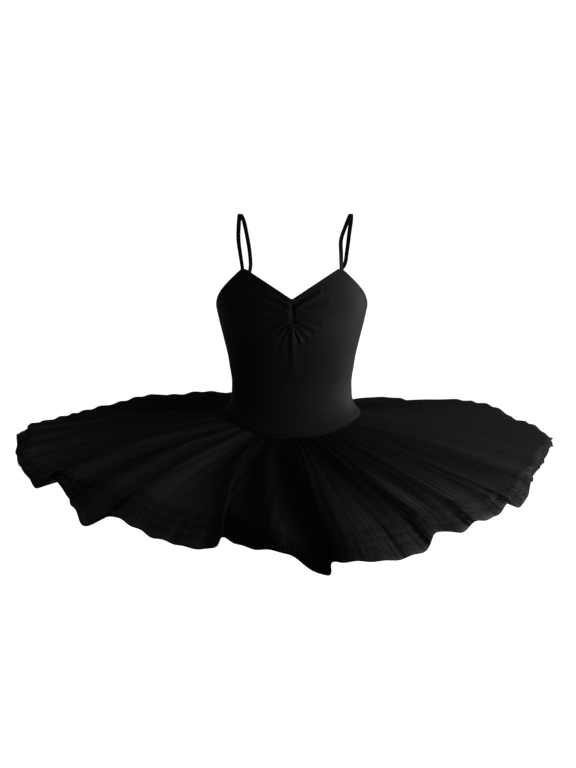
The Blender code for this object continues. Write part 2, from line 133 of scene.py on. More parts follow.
def eased(start: float, end: float, count: int, ease: float = 1.0) -> Array:
    """Values from start to end; an ease above 1 packs them close to the start."""
    return start + (end - start) * np.linspace(0, 1, count + 1) ** ease


def bell(distance: Array, breadth: Array | float) -> Array:
    """Bell curve: 1 at no distance and nearly 0 at twice the breadth."""
    return np.exp(-(distance / breadth) ** 2)


def run_along(path: Array) -> Array:
    """Distance along a path at each of its points."""
    return np.concatenate([[0], np.cumsum(np.linalg.norm(np.diff(path, axis=0), axis=-1))])


def curve(before: Array, start: Array, end: Array, after: Array, t: Array | float) -> Array:
    """Rows on a smooth curve from start to end, at a share t of the way, that heeds the rows beyond."""
    return 0.5 * (2 * start + t * (end - before) + t * t * (2 * before - 5 * start + 4 * end - after)
                  + t ** 3 * (3 * start - before - 3 * end + after))


@dataclass(frozen=True)
class Figure:
    """The hollow form that the garment keeps, and the lines of its cut on that form."""

    level_heights: tuple[float, ...] = (-134, -108, -80, -49, -38, -25, -8, 11, 33, 54, 76, 97, 118,
                                        140, 170, 190, 205, 225)
    half_widths: tuple[float, ...] = (124, 124, 122.5, 121, 112, 106.5, 105, 105, 108.3, 111.5, 116.5,
                                      121.5, 126.5, 130.5, 131, 128, 125.5, 123)
    fronts: tuple[float, ...] = (96, 96, 94, 92, 86, 80, 76, 75, 79, 85, 92, 97, 99, 98, 97, 97, 97, 97)
    backs: tuple[float, ...] = (102, 102, 99, 96, 87, 78, 72, 70, 72, 75, 79, 82, 85, 87, 88, 88, 88, 88)
    hip_side: float = -49.0
    hip_dip: float = 22.0
    leg_top: float = -134.0
    crotch: float = -239.0
    neck_point: float = 168.5
    strap_seat: float = 216.5
    back_seat: float = 178.0
    underarm: float = 140.0
    scoop: float = 85.0
    front_seat_angle: float = 43.2
    back_seat_angle: float = 36.5
    neck_slope: float = 0.70
    neck_curve: float = 0.0012
    neck_level: float = 200.0
    armhole_rounding: float = 0.05
    front_overshoot: float = 4.0
    back_overshoot: float = 3.0
    scoop_power: float = 1.6
    gusset_half_angle: float = 16.4
    leg_curve_front: float = 1.7
    leg_curve_back: float = 1.1
    angle_step: float = 0.01
    height_step: float = 0.5

    def hip_seam(self, angle: Array) -> Array:
        """Height of the seam between bodice and brief at an angle round the section."""
        return self.hip_side - self.hip_dip * np.cos(angle) ** 2

    def level(self, angle: Array, z: Array) -> Array:
        """Table height for a point: below the waist the sections follow the dipping hip seam.

        Args:
            angle: Angle round the section.
            z: Height above the waist.

        Returns:
            The height at which the tables are read.
        """
        seam = self.hip_seam(angle)
        below = np.where(z > seam, z * self.hip_side / seam, z - seam + self.hip_side)
        return np.where(z >= 0, z, below)

    def section(self, level: Array, angle: Array) -> tuple[Array, Array]:
        """Half width and depth of the garment's section.

        Args:
            level: Table height of the section.
            angle: Angle round it, which tells the front's depth from the back's.

        Returns:
            The half width and the depth at each place.
        """
        half_width, front, back = (SmoothTable(self.level_heights, column).read(level)
                                   for column in (self.half_widths, self.fronts, self.backs))
        return half_width, np.where(np.cos(angle) > 0, front, back)

    def point(self, angle: Array, z: Array) -> Array:
        """Point on the garment's outer face.

        Args:
            angle: Angle round the section, 0 at the front and pi at the back.
            z: Height above the waist.

        Returns:
            Points, one for each angle and height.
        """
        angle, z = np.broadcast_arrays(np.asarray(angle, float), np.asarray(z, float))
        half_width, depth = self.section(self.level(angle, z), angle)
        return np.stack([half_width * np.sin(angle), -depth * np.cos(angle), z], axis=-1)

    def round_body(self, angle: Array, z: Array) -> Array:
        """Short step round the body, level, at a point of the outer face."""
        return self.point(angle + self.angle_step, z) - self.point(angle - self.angle_step, z)

    def normal(self, angle: Array, z: Array) -> Array:
        """Direction straight out of the garment's outer face."""
        up_body = self.point(angle, z + self.height_step) - self.point(angle, z - self.height_step)
        return unit(np.cross(self.round_body(angle, z), up_body))

    def armhole(self, from_middle: Array, seat_angle: float, seat: float, overshoot: float) -> Array:
        """Height of an armhole's edge.

        Args:
            from_middle: Angles from the middle of the front or the back, in degrees.
            seat_angle: Angle of the strap's seat.
            seat: Height of the strap's seat, which the edge doesn't pass.
            overshoot: How far above the seat the curve would end.

        Returns:
            The edge's height at each angle.
        """
        share = (90 - from_middle) / (90 - seat_angle)
        rise = seat + overshoot - self.underarm
        rounded = np.hypot(share, self.armhole_rounding) - self.armhole_rounding
        return np.minimum(self.underarm + rise * rounded, seat)

    def edge(self, angle: Array) -> Array:
        """Top edge of the garment: neckline, strap seats and armholes.

        Args:
            angle: Angles round the section.

        Returns:
            The edge's height at each angle.
        """
        from_front = np.degrees(np.arccos(np.clip(np.cos(angle), -1, 1)))
        from_back = 180 - from_front
        x = np.abs(self.point(angle, self.neck_level)[..., 0])
        neck = np.minimum(self.neck_point + self.neck_slope * x - self.neck_curve * x * x, self.strap_seat)
        arm = self.armhole(from_front, self.front_seat_angle, self.strap_seat, self.front_overshoot)
        front = np.where(from_front < self.front_seat_angle, neck, arm)
        reach = np.clip(from_back / self.back_seat_angle, 0, None)
        scooped = self.scoop + (self.back_seat - self.scoop) * reach ** self.scoop_power
        arm = self.armhole(from_back, self.back_seat_angle, self.back_seat, self.back_overshoot)
        back = np.where(from_back < self.back_seat_angle, scooped, arm)
        return np.where(np.cos(angle) > 1e-9, front, back)

    def below_edge(self, angle: Array, width: float, side: Array) -> Array:
        """Height of a line inside the top edge.

        Args:
            angle: Angles round the section.
            width: Distance from the edge, square to it.
            side: 1 or -1, the side on which the edge's slope is read beside a corner.

        Returns:
            The line's height at each angle.
        """
        step = math.radians(1.0) * side
        near, far = self.edge(angle), self.edge(angle + step)
        run = np.linalg.norm(self.point(angle + step, near) - self.point(angle, near), axis=-1)
        return near - width * np.hypot(1, (far - near) / run)

    def brief_point(self, front: bool, fall: Array, across: Array) -> Array:
        """Point of the brief below the leg tops.

        Args:
            front: Whether it is on the front panel.
            fall: Angle down and under, from level at 0 to straight down at a quarter turn.
            across: Angle from the middle to the side.

        Returns:
            Points, one for each pair of angles.
        """
        depth = -self.fronts[0] if front else self.backs[0]
        x = self.half_widths[0] * np.sin(across)
        y = depth * np.cos(across) * np.cos(fall)
        z = self.leg_top + (self.crotch - self.leg_top) * np.cos(across) * np.sin(fall)
        return np.stack(np.broadcast_arrays(x, y, z), axis=-1)

    def brief_normal(self, front: bool, fall: Array, across: Array) -> Array:
        """Direction straight out of the brief below the leg tops.

        Args:
            front: Whether it is on the front panel.
            fall: Angle down and under.
            across: Angle from the middle to the side.

        Returns:
            Directions of length one, one for each pair of angles.
        """
        depth = self.fronts[0] if front else self.backs[0]
        point = self.brief_point(front, fall, across)
        drop = self.crotch - self.leg_top
        scale = np.array([self.half_widths[0] ** 2, depth ** 2, drop ** 2])
        return unit((point - np.array([0, 0, self.leg_top])) / scale)

    def leg_edge(self, front: bool, fall: Array) -> Array:
        """Where the brief ends at its leg opening.

        Args:
            front: Whether it is on the front panel.
            fall: Angle down and under.

        Returns:
            The angle across at which the brief ends, for each fall.
        """
        power = self.leg_curve_front if front else self.leg_curve_back
        open_share = np.clip(1 - fall / (math.pi / 2), 0, 1) ** power
        return np.radians(self.gusset_half_angle + (90 - self.gusset_half_angle) * open_share)


FIGURE = Figure()


class Mesher:
    """Makes mesh objects from grids of points in millimetres above the waist."""

    @staticmethod
    def mesh(name: str, points: Array, faces: list[list[int]]) -> bpy.types.Mesh:
        """Makes the mesh data, moved to the part's own frame and turned to metres.

        Args:
            name: The mesh's name.
            points: Points in millimetres above the waist.
            faces: Each face's points.

        Returns:
            The new mesh data.
        """
        data = bpy.data.meshes.new(name)
        placed = (points.reshape(-1, 3) - np.array([0, 0, STRAP_TOP])) * MM
        data.from_pydata(placed.tolist(), [], faces)
        return data

    @staticmethod
    def lay_flat(data: bpy.types.Mesh, places: Array) -> None:
        """Stores the flat place of every face corner, in metres, as the UV map of the cloth."""
        layer = data.uv_layers.new(name=CLOTH_UV)
        layer.data.foreach_set("uv", (places.reshape(-1) * MM).astype(np.float32))

    @staticmethod
    def link(name: str, data: bpy.types.Mesh) -> bpy.types.Object:
        """Makes an object of a finished mesh, with smooth faces, at the origin.

        Args:
            name: The object's name.
            data: Its mesh.

        Returns:
            The new object.
        """
        data.shade_smooth()
        made = bpy.data.objects.new(name, data)
        bpy.context.collection.objects.link(made)
        return made

    @staticmethod
    def cloth(name: str, grid: Array, cut: Array, wall: float, closed: bool) -> bpy.types.Object:
        """Sheet of cloth with a wall.

        Args:
            name: The object's name.
            grid: Points of the outer face, rows by columns.
            cut: Flat place of each point, in millimetres; a closed sheet has one more column.
            wall: Thickness, laid on the inner side.
            closed: Whether the last column meets the first.

        Returns:
            The new object, with its flat places in its UV map.
        """
        rows, columns = grid.shape[:2]
        spans = columns if closed else columns - 1
        j, i = (part.ravel() for part in np.meshgrid(np.arange(rows - 1), np.arange(spans), indexing="ij"))
        far = (i + 1) % columns
        top, low = j * columns, (j + 1) * columns
        faces = np.stack([top + i, low + i, low + far, top + far], axis=-1)
        data = Mesher.mesh(name, grid, faces.tolist())
        Mesher.lay_flat(data, np.stack([cut[j, i], cut[j + 1, i], cut[j + 1, i + 1], cut[j, i + 1]], axis=1))
        made = Mesher.link(name, data)
        thicken = made.modifiers.new("wall", "SOLIDIFY")
        thicken.thickness = wall * MM
        thicken.offset = -1.0
        return made

    @staticmethod
    def swept(name: str, rings: Array, closed: bool) -> bpy.types.Object:
        """Trim with a closed section swept along a path.

        Args:
            name: The object's name.
            rings: Points, stations by places round the section.
            closed: Whether the last station meets the first.

        Returns:
            The new object; its UV map runs along the trim and then round its section.
        """
        stations, places = rings.shape[:2]
        spans = stations if closed else stations - 1
        s, p = (part.ravel() for part in np.meshgrid(np.arange(spans), np.arange(places), indexing="ij"))
        on, beside = (s + 1) % stations, (p + 1) % places
        faces = np.stack([s * places + p, on * places + p, on * places + beside, s * places + beside],
                         axis=-1).tolist()
        if not closed:
            faces.append(list(range(places)))
            faces.append([(stations - 1) * places + place for place in reversed(range(places))])
        data = Mesher.mesh(name, rings, faces)
        middle = rings.mean(axis=1)
        along = run_along(np.vstack([middle, middle[:1]]))
        around = run_along(np.vstack([rings[0], rings[0][:1]]))
        corners = np.stack([np.stack([along[s + step], around[p + turn]], -1)
                            for step, turn in ((0, 0), (1, 0), (1, 1), (0, 1))], 1)
        flat = np.zeros((len(data.loops), 2))
        flat[:corners.shape[0] * 4] = corners.reshape(-1, 2)
        Mesher.lay_flat(data, flat)
        outward = bmesh.new()
        outward.from_mesh(data)
        bmesh.ops.recalc_face_normals(outward, faces=outward.faces)
        outward.to_mesh(data)
        outward.free()
        return Mesher.link(name, data)

    @staticmethod
    def stitches(name: str, path: Array, normals: Array, pitch: float, width: float) -> bpy.types.Object:
        """Row of machine stitches lying along a path.

        Args:
            name: The object's name.
            path: Points that the row follows.
            normals: Direction out of the cloth at each point.
            pitch: Distance from one stitch to the next.
            width: Thickness of the thread.

        Returns:
            The new object, one small bead of thread for each stitch.
        """
        run = run_along(path)
        centres = np.arange(pitch, run[-1] - pitch / 2, pitch)

        def read(rows: Array, at: Array) -> Array:
            """Rows that belong to the path's points, read at distances along it."""
            return np.stack([np.interp(at, run, rows[:, axis]) for axis in range(3)], -1)

        place = read(path, centres)
        along = unit(read(path, centres + 0.5) - place)
        out = unit(read(normals, centres))
        across = unit(np.cross(out, along))
        bead = []
        for step, girth in STITCH_STATIONS:
            for t in np.arange(STITCH_SIDES) * 2 * math.pi / STITCH_SIDES:
                bead.append(place + along * step * pitch + across * math.cos(t) * width / 2 * girth
                            + out * (math.sin(t) * width / 2 * girth))
        per = len(STITCH_STATIONS) * STITCH_SIDES
        one: list[list[int]] = []
        for ring in range(len(STITCH_STATIONS) - 1):
            for t in range(STITCH_SIDES):
                a, b = ring * STITCH_SIDES + t, ring * STITCH_SIDES + (t + 1) % STITCH_SIDES
                one.append([a, b, b + STITCH_SIDES, a + STITCH_SIDES])
        one.append(list(reversed(range(STITCH_SIDES))))
        one.append(list(range(per - STITCH_SIDES, per)))
        faces = [[n * per + corner for corner in face] for n in range(len(centres)) for face in one]
        return Mesher.link(name, Mesher.mesh(name, np.stack(bead, axis=1), faces))


class Wiring:
    """Adds nodes to one tree and joins them."""

    def __init__(self, tree: bpy.types.NodeTree) -> None:
        """Keeps the node tree to work in."""
        self.tree = tree

    def add(self, kind: str, **settings: object) -> bpy.types.Node:
        """Adds a node.

        Args:
            kind: The node's type.
            settings: Its properties.

        Returns:
            The new node.
        """
        node = self.tree.nodes.new(kind)
        for name, value in settings.items():
            setattr(node, name, value)
        return node

    def feed(self, socket: bpy.types.NodeSocket, value: object) -> None:
        """Sets a socket.

        Args:
            socket: The socket to set.
            value: A number or colour for it, or another socket to join it to.
        """
        if isinstance(value, bpy.types.NodeSocket):
            self.tree.links.new(value, socket)
        else:
            socket.default_value = value

    def fed(self, kind: str, operation: str, values: Sequence[object]) -> bpy.types.Node:
        """Adds a node with an operation.

        Args:
            kind: The node's type.
            operation: What it does.
            values: What its first inputs get, in order.

        Returns:
            The new node.
        """
        node = self.add(kind, operation=operation)
        for socket, value in zip(node.inputs, values):
            self.feed(socket, value)
        return node

    def maths(self, operation: str, *values: object) -> bpy.types.NodeSocket:
        """Result of a Math node."""
        return self.fed("ShaderNodeMath", operation, values).outputs[0]

    def vector(self, operation: str, *values: object) -> bpy.types.NodeSocket:
        """Result of a Vector Math node, a number for DOT_PRODUCT and a vector otherwise."""
        outputs = self.fed("ShaderNodeVectorMath", operation, values).outputs
        return outputs["Value" if operation == "DOT_PRODUCT" else "Vector"]

    def ramp(self, value: object, low: object, high: float, start: float = 0.0,
             end: float = 1.0) -> bpy.types.NodeSocket:
        """Value carried smoothly from one range onto another.

        Args:
            value: The value.
            low: Where its range starts.
            high: Where its range ends.
            start: What the range's start becomes.
            end: What the range's end becomes.

        Returns:
            The socket of the new value.
        """
        node = self.add("ShaderNodeMapRange", interpolation_type="SMOOTHSTEP")
        for name, part in (("Value", value), ("From Min", low), ("From Max", high),
                           ("To Min", start), ("To Max", end)):
            self.feed(node.inputs[name], part)
        return node.outputs["Result"]

    def blend(self, share: object, first: Sequence[float], second: Sequence[float]) -> bpy.types.NodeSocket:
        """Colour between two colours.

        Args:
            share: Share of the second colour.
            first: The first colour.
            second: The second colour.

        Returns:
            The socket of the blended colour.
        """
        node = self.add("ShaderNodeMix", data_type="RGBA")
        self.feed(node.inputs["Factor"], share)
        colours = [socket for socket in node.inputs if socket.type == "RGBA"]
        colours[0].default_value = (*first, 1.0)
        colours[1].default_value = (*second, 1.0)
        return [socket for socket in node.outputs if socket.type == "RGBA"][0]

    def noise(self, where: object, scale: float, detail: float) -> bpy.types.NodeSocket:
        """Noise.

        Args:
            where: The place that it is read at.
            scale: How fine it is.
            detail: How many finer octaves it has.

        Returns:
            The socket of the noise's value.
        """
        node = self.add("ShaderNodeTexNoise")
        self.feed(node.inputs["Vector"], where)
        node.inputs["Scale"].default_value = scale
        node.inputs["Detail"].default_value = detail
        return node.outputs["Fac"]

    def split(self, vector: object) -> tuple[bpy.types.NodeSocket, bpy.types.NodeSocket]:
        """Takes a vector apart.

        Args:
            vector: The vector.

        Returns:
            The sockets of its first and its second part.
        """
        node = self.add("ShaderNodeSeparateXYZ")
        self.feed(node.inputs[0], vector)
        return node.outputs["X"], node.outputs["Y"]

    def joined(self, x: object, y: object) -> bpy.types.NodeSocket:
        """Puts a vector together.

        Args:
            x: Its first part.
            y: Its second part.

        Returns:
            The vector's socket.
        """
        node = self.add("ShaderNodeCombineXYZ")
        self.feed(node.inputs["X"], x)
        self.feed(node.inputs["Y"], y)
        return node.outputs[0]

    def marked(self, name: str) -> bpy.types.NodeSocket:
        """Value that the cloth carries under a name."""
        node = self.add("ShaderNodeAttribute", attribute_name=name, attribute_type="GEOMETRY")
        return node.outputs["Fac"]

    def here(self) -> bpy.types.NodeSocket:
        """Place in the piece's own coordinates."""
        return self.add("ShaderNodeTexCoord").outputs["Object"]


class Effects:
    """Node groups for effects that several finishes share, each built when it is first used."""

    def start(self, name: str, output: str, **numbers: float) -> tuple:
        """Starts a group that reads a vector and some numbers.

        Args:
            name: The group's name.
            output: Name of the value that the group puts out.
            numbers: The numbers' names and usual values.

        Returns:
            The group, its wiring, its input node and its output node.
        """
        group = bpy.data.node_groups.new(name, "ShaderNodeTree")
        group.interface.new_socket(name="Vector", in_out="INPUT", socket_type="NodeSocketVector")
        for label, value in numbers.items():
            socket = group.interface.new_socket(name=label, in_out="INPUT", socket_type="NodeSocketFloat")
            socket.default_value = value
        group.interface.new_socket(name=output, in_out="OUTPUT", socket_type="NodeSocketFloat")
        wiring = Wiring(group)
        return group, wiring, wiring.add("NodeGroupInput"), wiring.add("NodeGroupOutput")

    @cached_property
    def net(self) -> bpy.types.NodeTree:
        """Six-sided net.

        Returns:
            The group, which puts out 1 on the net's threads and 0 in its holes.
        """
        group, wiring, given, result = self.start("six-sided net", "Thread mask", Cell=0.0018, Thread=0.16)
        flat = wiring.vector("MULTIPLY", given.outputs["Vector"], (1.0, 1.0, 0.0))
        scaled = wiring.add("ShaderNodeVectorMath", operation="SCALE")
        wiring.feed(scaled.inputs[0], flat)
        wiring.feed(scaled.inputs["Scale"], wiring.maths("DIVIDE", 1.0, given.outputs["Cell"]))
        half = (0.5, math.sqrt(3) / 2, 0.5)
        slope = (0.5, math.sqrt(3) / 2, 0.0)
        distances = []
        for shift in ((0.0, 0.0, 0.0), slope):
            moved = wiring.vector("SUBTRACT", scaled.outputs["Vector"], shift)
            wrapped = wiring.vector("WRAP", moved, half, tuple(-part for part in half))
            folded = wiring.vector("ABSOLUTE", wrapped)
            slant = wiring.vector("DOT_PRODUCT", folded, slope)
            straight = wiring.vector("DOT_PRODUCT", folded, (1.0, 0.0, 0.0))
            distances.append(wiring.maths("MAXIMUM", slant, straight))
        distance = wiring.maths("MINIMUM", *distances)
        inner = wiring.maths("SUBTRACT", 0.5, given.outputs["Thread"])
        wiring.feed(result.inputs[0], wiring.ramp(distance, inner, 0.5))
        return group

    @cached_property
    def knit(self) -> bpy.types.NodeTree:
        """Fine knitted loops.

        Returns:
            The group, which puts out the loops' height, from 0 to 1.
        """
        group, wiring, given, result = self.start("fine knit", "Loops", Pitch=0.0008)
        ridge_slope, wave_height, wave_middle = 1.6, 0.25, 0.75
        x, y = wiring.split(given.outputs["Vector"])
        wale, course = (wiring.maths("DIVIDE", part, given.outputs["Pitch"]) for part in (x, y))
        off_centre = wiring.maths("ABSOLUTE", wiring.maths("SUBTRACT", wiring.maths("FRACT", wale), 0.5))
        ridge = wiring.maths("SUBTRACT", 1.0, wiring.maths("MULTIPLY", off_centre, ridge_slope))
        slanted = wiring.maths("ADD", course, off_centre)
        wave = wiring.maths("SINE", wiring.maths("MULTIPLY", slanted, 2 * math.pi))
        rounded = wiring.maths("MULTIPLY_ADD", wave, wave_height, wave_middle)
        wiring.feed(result.inputs[0], wiring.maths("MULTIPLY", ridge, rounded))
        return group

    @cached_property
    def streaks(self) -> bpy.types.NodeTree:
        """Long uneven streaks along the cloth's second direction.

        Returns:
            The group, which puts out the streaks' tone, from 0 to 1.
        """
        group, wiring, given, result = self.start("long streaks", "Streak", Fineness=200.0, Length=6.0)
        x, y = wiring.split(given.outputs["Vector"])
        across = wiring.maths("MULTIPLY", x, given.outputs["Fineness"])
        along = wiring.maths("MULTIPLY", y, given.outputs["Length"])
        wiring.feed(result.inputs[0], wiring.noise(wiring.joined(across, along), scale=1.0, detail=3.0))
        return group


EFFECTS = Effects()


@dataclass(frozen=True)
class Finish:
    """What every finish has: its name, colours, gloss and the unevenness of its roughness."""

    name: str
    low: tuple[float, float, float]
    high: tuple[float, float, float]
    roughness: float
    gloss: float
    sheen: float
    sheen_roughness: float = 0.5
    unevenness: float = 0.0

    def begin(self) -> tuple[bpy.types.Material, Wiring, bpy.types.Node, bpy.types.NodeSocket]:
        """Starts the material.

        Returns:
            The material, its wiring, its shader node and the socket of the cloth's flat places.
        """
        material = bpy.data.materials.new(self.name)
        material.use_nodes = True
        shader = material.node_tree.nodes["Principled BSDF"]
        shader.inputs["Metallic"].default_value = 0.0
        shader.inputs["Specular IOR Level"].default_value = self.gloss
        shader.inputs["Sheen Weight"].default_value = self.sheen
        shader.inputs["Sheen Roughness"].default_value = self.sheen_roughness
        shader.inputs["Sheen Tint"].default_value = (1.0, 1.0, 1.0, 1.0)
        wiring = Wiring(material.node_tree)
        places = wiring.add("ShaderNodeUVMap", uv_map=CLOTH_UV)
        return material, wiring, shader, places.outputs["UV"]

    def use(self, wiring: Wiring, group: bpy.types.NodeTree, **values: object) -> bpy.types.NodeSocket:
        """Places an effect.

        Args:
            wiring: The material's wiring.
            group: The effect's node group.
            values: What the group's inputs get.

        Returns:
            The socket of what the group puts out.
        """
        node = wiring.add("ShaderNodeGroup", node_tree=group)
        for name, value in values.items():
            wiring.feed(node.inputs[name], value)
        return node.outputs[0]

    def colour(self, wiring: Wiring, shader: bpy.types.Node, share: object) -> None:
        """Joins the blend of the finish's two colours to the shader."""
        wiring.feed(shader.inputs["Base Color"], wiring.blend(share, self.low, self.high))

    def roughen(self, wiring: Wiring, shader: bpy.types.Node, value: object, low: float, high: float) -> None:
        """Varies the roughness by its unevenness.

        Args:
            wiring: The material's wiring.
            shader: Its shader node.
            value: The value that the roughness follows.
            low: Where the value's range starts.
            high: Where it ends.
        """
        half = self.unevenness / 2
        wiring.feed(shader.inputs["Roughness"],
                    wiring.ramp(value, low, high, self.roughness - half, self.roughness + half))

    def relief(self, wiring: Wiring, shader: bpy.types.Node, height: object, depth: float) -> None:
        """Joins a height to the shader as fine relief.

        Args:
            wiring: The material's wiring.
            shader: Its shader node.
            height: The height, from 0 to 1.
            depth: What a height of 1 is in metres.
        """
        bump = wiring.add("ShaderNodeBump")
        bump.inputs["Distance"].default_value = depth
        bump.inputs["Strength"].default_value = 1.0
        wiring.feed(bump.inputs["Height"], height)
        wiring.feed(shader.inputs["Normal"], bump.outputs["Normal"])


@dataclass(frozen=True)
class KnitFinish(Finish):
    """Stretch jersey: fine knitted loops under a faint, uneven sheen."""

    unevenness: float = 0.12
    pitch: float = 0.0008
    depth: float = 0.00008
    cloud_scale: float = 14.0
    cloud_dark: float = 0.7

    def material(self) -> bpy.types.Material:
        """Builds the material.

        Returns:
            The new material.
        """
        material, wiring, shader, places = self.begin()
        loops = self.use(wiring, EFFECTS.knit, Vector=places, Pitch=self.pitch)
        cloudy = wiring.noise(wiring.here(), self.cloud_scale, detail=3.0)
        shade = wiring.ramp(cloudy, 0.3, 0.7, self.cloud_dark, 1.0)
        self.colour(wiring, shader, wiring.maths("MULTIPLY", loops, shade))
        self.roughen(wiring, shader, cloudy, 0.25, 0.75)
        self.relief(wiring, shader, loops, self.depth)
        return material


@dataclass(frozen=True)
class ElasticFinish(Finish):
    """Woven elastic: fine ribs along the strap, crossed by the weft."""

    unevenness: float = 0.1
    rib: float = 0.0009
    weft: float = 0.0006
    depth: float = 0.0001
    streak_fineness: float = 1500.0
    streak_length: float = 60.0
    streak_dark: float = 0.6

    def material(self) -> bpy.types.Material:
        """Builds the material.

        Returns:
            The new material.
        """
        material, wiring, shader, places = self.begin()
        along, around = wiring.split(places)
        ribs = wiring.maths("SINE", wiring.maths("MULTIPLY", around, 2 * math.pi / self.rib))
        weft = wiring.maths("SINE", wiring.maths("MULTIPLY", along, 2 * math.pi / self.weft))
        weave = wiring.maths("MULTIPLY_ADD", wiring.maths("MULTIPLY", ribs, weft), 0.5, 0.5)
        streak = self.use(wiring, EFFECTS.streaks, Vector=wiring.joined(around, along),
                          Fineness=self.streak_fineness, Length=self.streak_length)
        shade = wiring.ramp(streak, 0.3, 0.7, self.streak_dark, 1.0)
        self.colour(wiring, shader, wiring.maths("MULTIPLY", weave, shade))
        self.roughen(wiring, shader, streak, 0.3, 0.7)
        self.relief(wiring, shader, weave, self.depth)
        return material


@dataclass(frozen=True)
class NetFinish(Finish):
    """Tulle: a six-sided net with streaks from its seam outwards and painted light and shade; its marked
    edges fade.
    """

    unevenness: float = 0.12
    cell: float = 0.0018
    thread: float = 0.10
    depth: float = 0.00012
    fine_streaks: float = 260.0
    broad_streaks: float = 70.0
    mean_tone: float = 0.5
    least_tone: float = 0.05
    hole_tone: float = 0.4
    frayed: float = 1.1
    thread_cover: float = 0.8

    def material(self) -> bpy.types.Material:
        """Builds the material; it reads the painted light and shade, how streaked the net is, and how far its
        edge fades.

        Returns:
            The new material.
        """
        material, wiring, shader, places = self.begin()
        threads = self.use(wiring, EFFECTS.net, Vector=places, Cell=self.cell, Thread=self.thread)
        streak = self.use(wiring, EFFECTS.streaks, Vector=places, Fineness=self.fine_streaks, Length=5.0)
        broad = self.use(wiring, EFFECTS.streaks, Vector=places, Fineness=self.broad_streaks, Length=3.0)
        streaky = wiring.maths("ADD", wiring.ramp(streak, 0.35, 0.68, -0.3, 0.3),
                               wiring.ramp(broad, 0.35, 0.65, -0.2, 0.2))
        # The first mark is painted light and shade, by bearing, that scales the net's tone.
        weight, streaked, fade = (wiring.marked(name) for name in ("painted_shading", "streaked", "fade"))
        tone = wiring.maths("MAXIMUM", wiring.maths("MULTIPLY_ADD", streaky, streaked, self.mean_tone),
                            self.least_tone)
        woven = wiring.maths("MULTIPLY_ADD", threads, 1 - self.hole_tone, self.hole_tone)
        share = wiring.maths("MULTIPLY", wiring.maths("MULTIPLY", woven, tone), weight)
        self.colour(wiring, shader, share)
        self.roughen(wiring, shader, streak, 0.3, 0.7)
        brushed = wiring.maths("MULTIPLY_ADD", wiring.maths("SUBTRACT", 0.5, streak), self.frayed, fade)
        solid = wiring.ramp(wiring.maths("MULTIPLY", brushed, wiring.ramp(fade, 0.0, 0.2)),
                            0.25, 0.85, 1.0, 0.0)
        mesh = wiring.maths("MULTIPLY", threads, self.thread_cover)
        wiring.feed(shader.inputs["Alpha"], wiring.maths("MAXIMUM", solid, mesh))
        self.relief(wiring, shader, threads, self.depth)
        return material


@dataclass(frozen=True)
class ThreadFinish(Finish):
    """Sewing thread: two plies twisted round each other."""

    twist: float = 0.0005
    depth: float = 0.00005

    def material(self) -> bpy.types.Material:
        """Builds the material.

        Returns:
            The new material.
        """
        material, wiring, shader, _ = self.begin()
        plies = wiring.add("ShaderNodeTexWave", wave_type="BANDS", bands_direction="DIAGONAL")
        wiring.feed(plies.inputs["Vector"], wiring.here())
        plies.inputs["Scale"].default_value = 1 / self.twist / (2 * math.pi)
        self.colour(wiring, shader, plies.outputs["Fac"])
        shader.inputs["Roughness"].default_value = self.roughness
        self.relief(wiring, shader, plies.outputs["Fac"], self.depth)
        return material


@dataclass(frozen=True)
class FloorFinish:
    """Pale, even studio floor."""

    name: str = "pale floor"
    low: tuple[float, float, float] = (0.86, 0.86, 0.86)
    high: tuple[float, float, float] = (0.9, 0.9, 0.9)
    roughness: float = 0.9
    gloss: float = 0.1

    def material(self) -> bpy.types.Material:
        """Builds the material.

        Returns:
            The new material.
        """
        material = bpy.data.materials.new(self.name)
        material.use_nodes = True
        shader = material.node_tree.nodes["Principled BSDF"]
        wiring = Wiring(material.node_tree)
        cloudy = wiring.noise(wiring.here(), scale=0.6, detail=2.0)
        wiring.feed(shader.inputs["Base Color"], wiring.blend(cloudy, self.low, self.high))
        shader.inputs["Roughness"].default_value = self.roughness
        shader.inputs["Specular IOR Level"].default_value = self.gloss
        shader.inputs["Emission Color"].default_value = (1.0, 1.0, 1.0, 1.0)
        seen = wiring.add("ShaderNodeLightPath").outputs["Is Camera Ray"]
        wiring.feed(shader.inputs["Emission Strength"], seen)
        return material


JERSEY = KnitFinish("black stretch jersey", low=(0.0048, 0.0047, 0.0047), high=(0.0098, 0.0097, 0.0097),
                    roughness=0.58, gloss=0.05, sheen=0.035)
BINDING = KnitFinish("black folded binding", low=(0.0046, 0.0045, 0.0045), high=(0.0096, 0.0095, 0.0095),
                     roughness=0.55, gloss=0.06, sheen=0.030, pitch=0.0007)
ELASTIC = ElasticFinish("black woven elastic", low=(0.0036, 0.0035, 0.0035), high=(0.0086, 0.0085, 0.0085),
                        roughness=0.5, gloss=0.06, sheen=0.010)
TULLE = NetFinish("black tulle", low=(0.0042, 0.0042, 0.0042), high=(0.0800, 0.0798, 0.0794),
                  roughness=0.8, gloss=0.02, sheen=0.002)
THREAD = ThreadFinish("black sewing thread", low=(0.0051, 0.0050, 0.0050), high=(0.0131, 0.0130, 0.0130),
                      roughness=0.5, gloss=0.08, sheen=0.0)


@dataclass
class Wardrobe:
    """The garment's materials, each made once."""

    jersey: bpy.types.Material = field(default_factory=JERSEY.material)
    binding: bpy.types.Material = field(default_factory=BINDING.material)
    elastic: bpy.types.Material = field(default_factory=ELASTIC.material)
    net: bpy.types.Material = field(default_factory=TULLE.material)
    thread: bpy.types.Material = field(default_factory=THREAD.material)


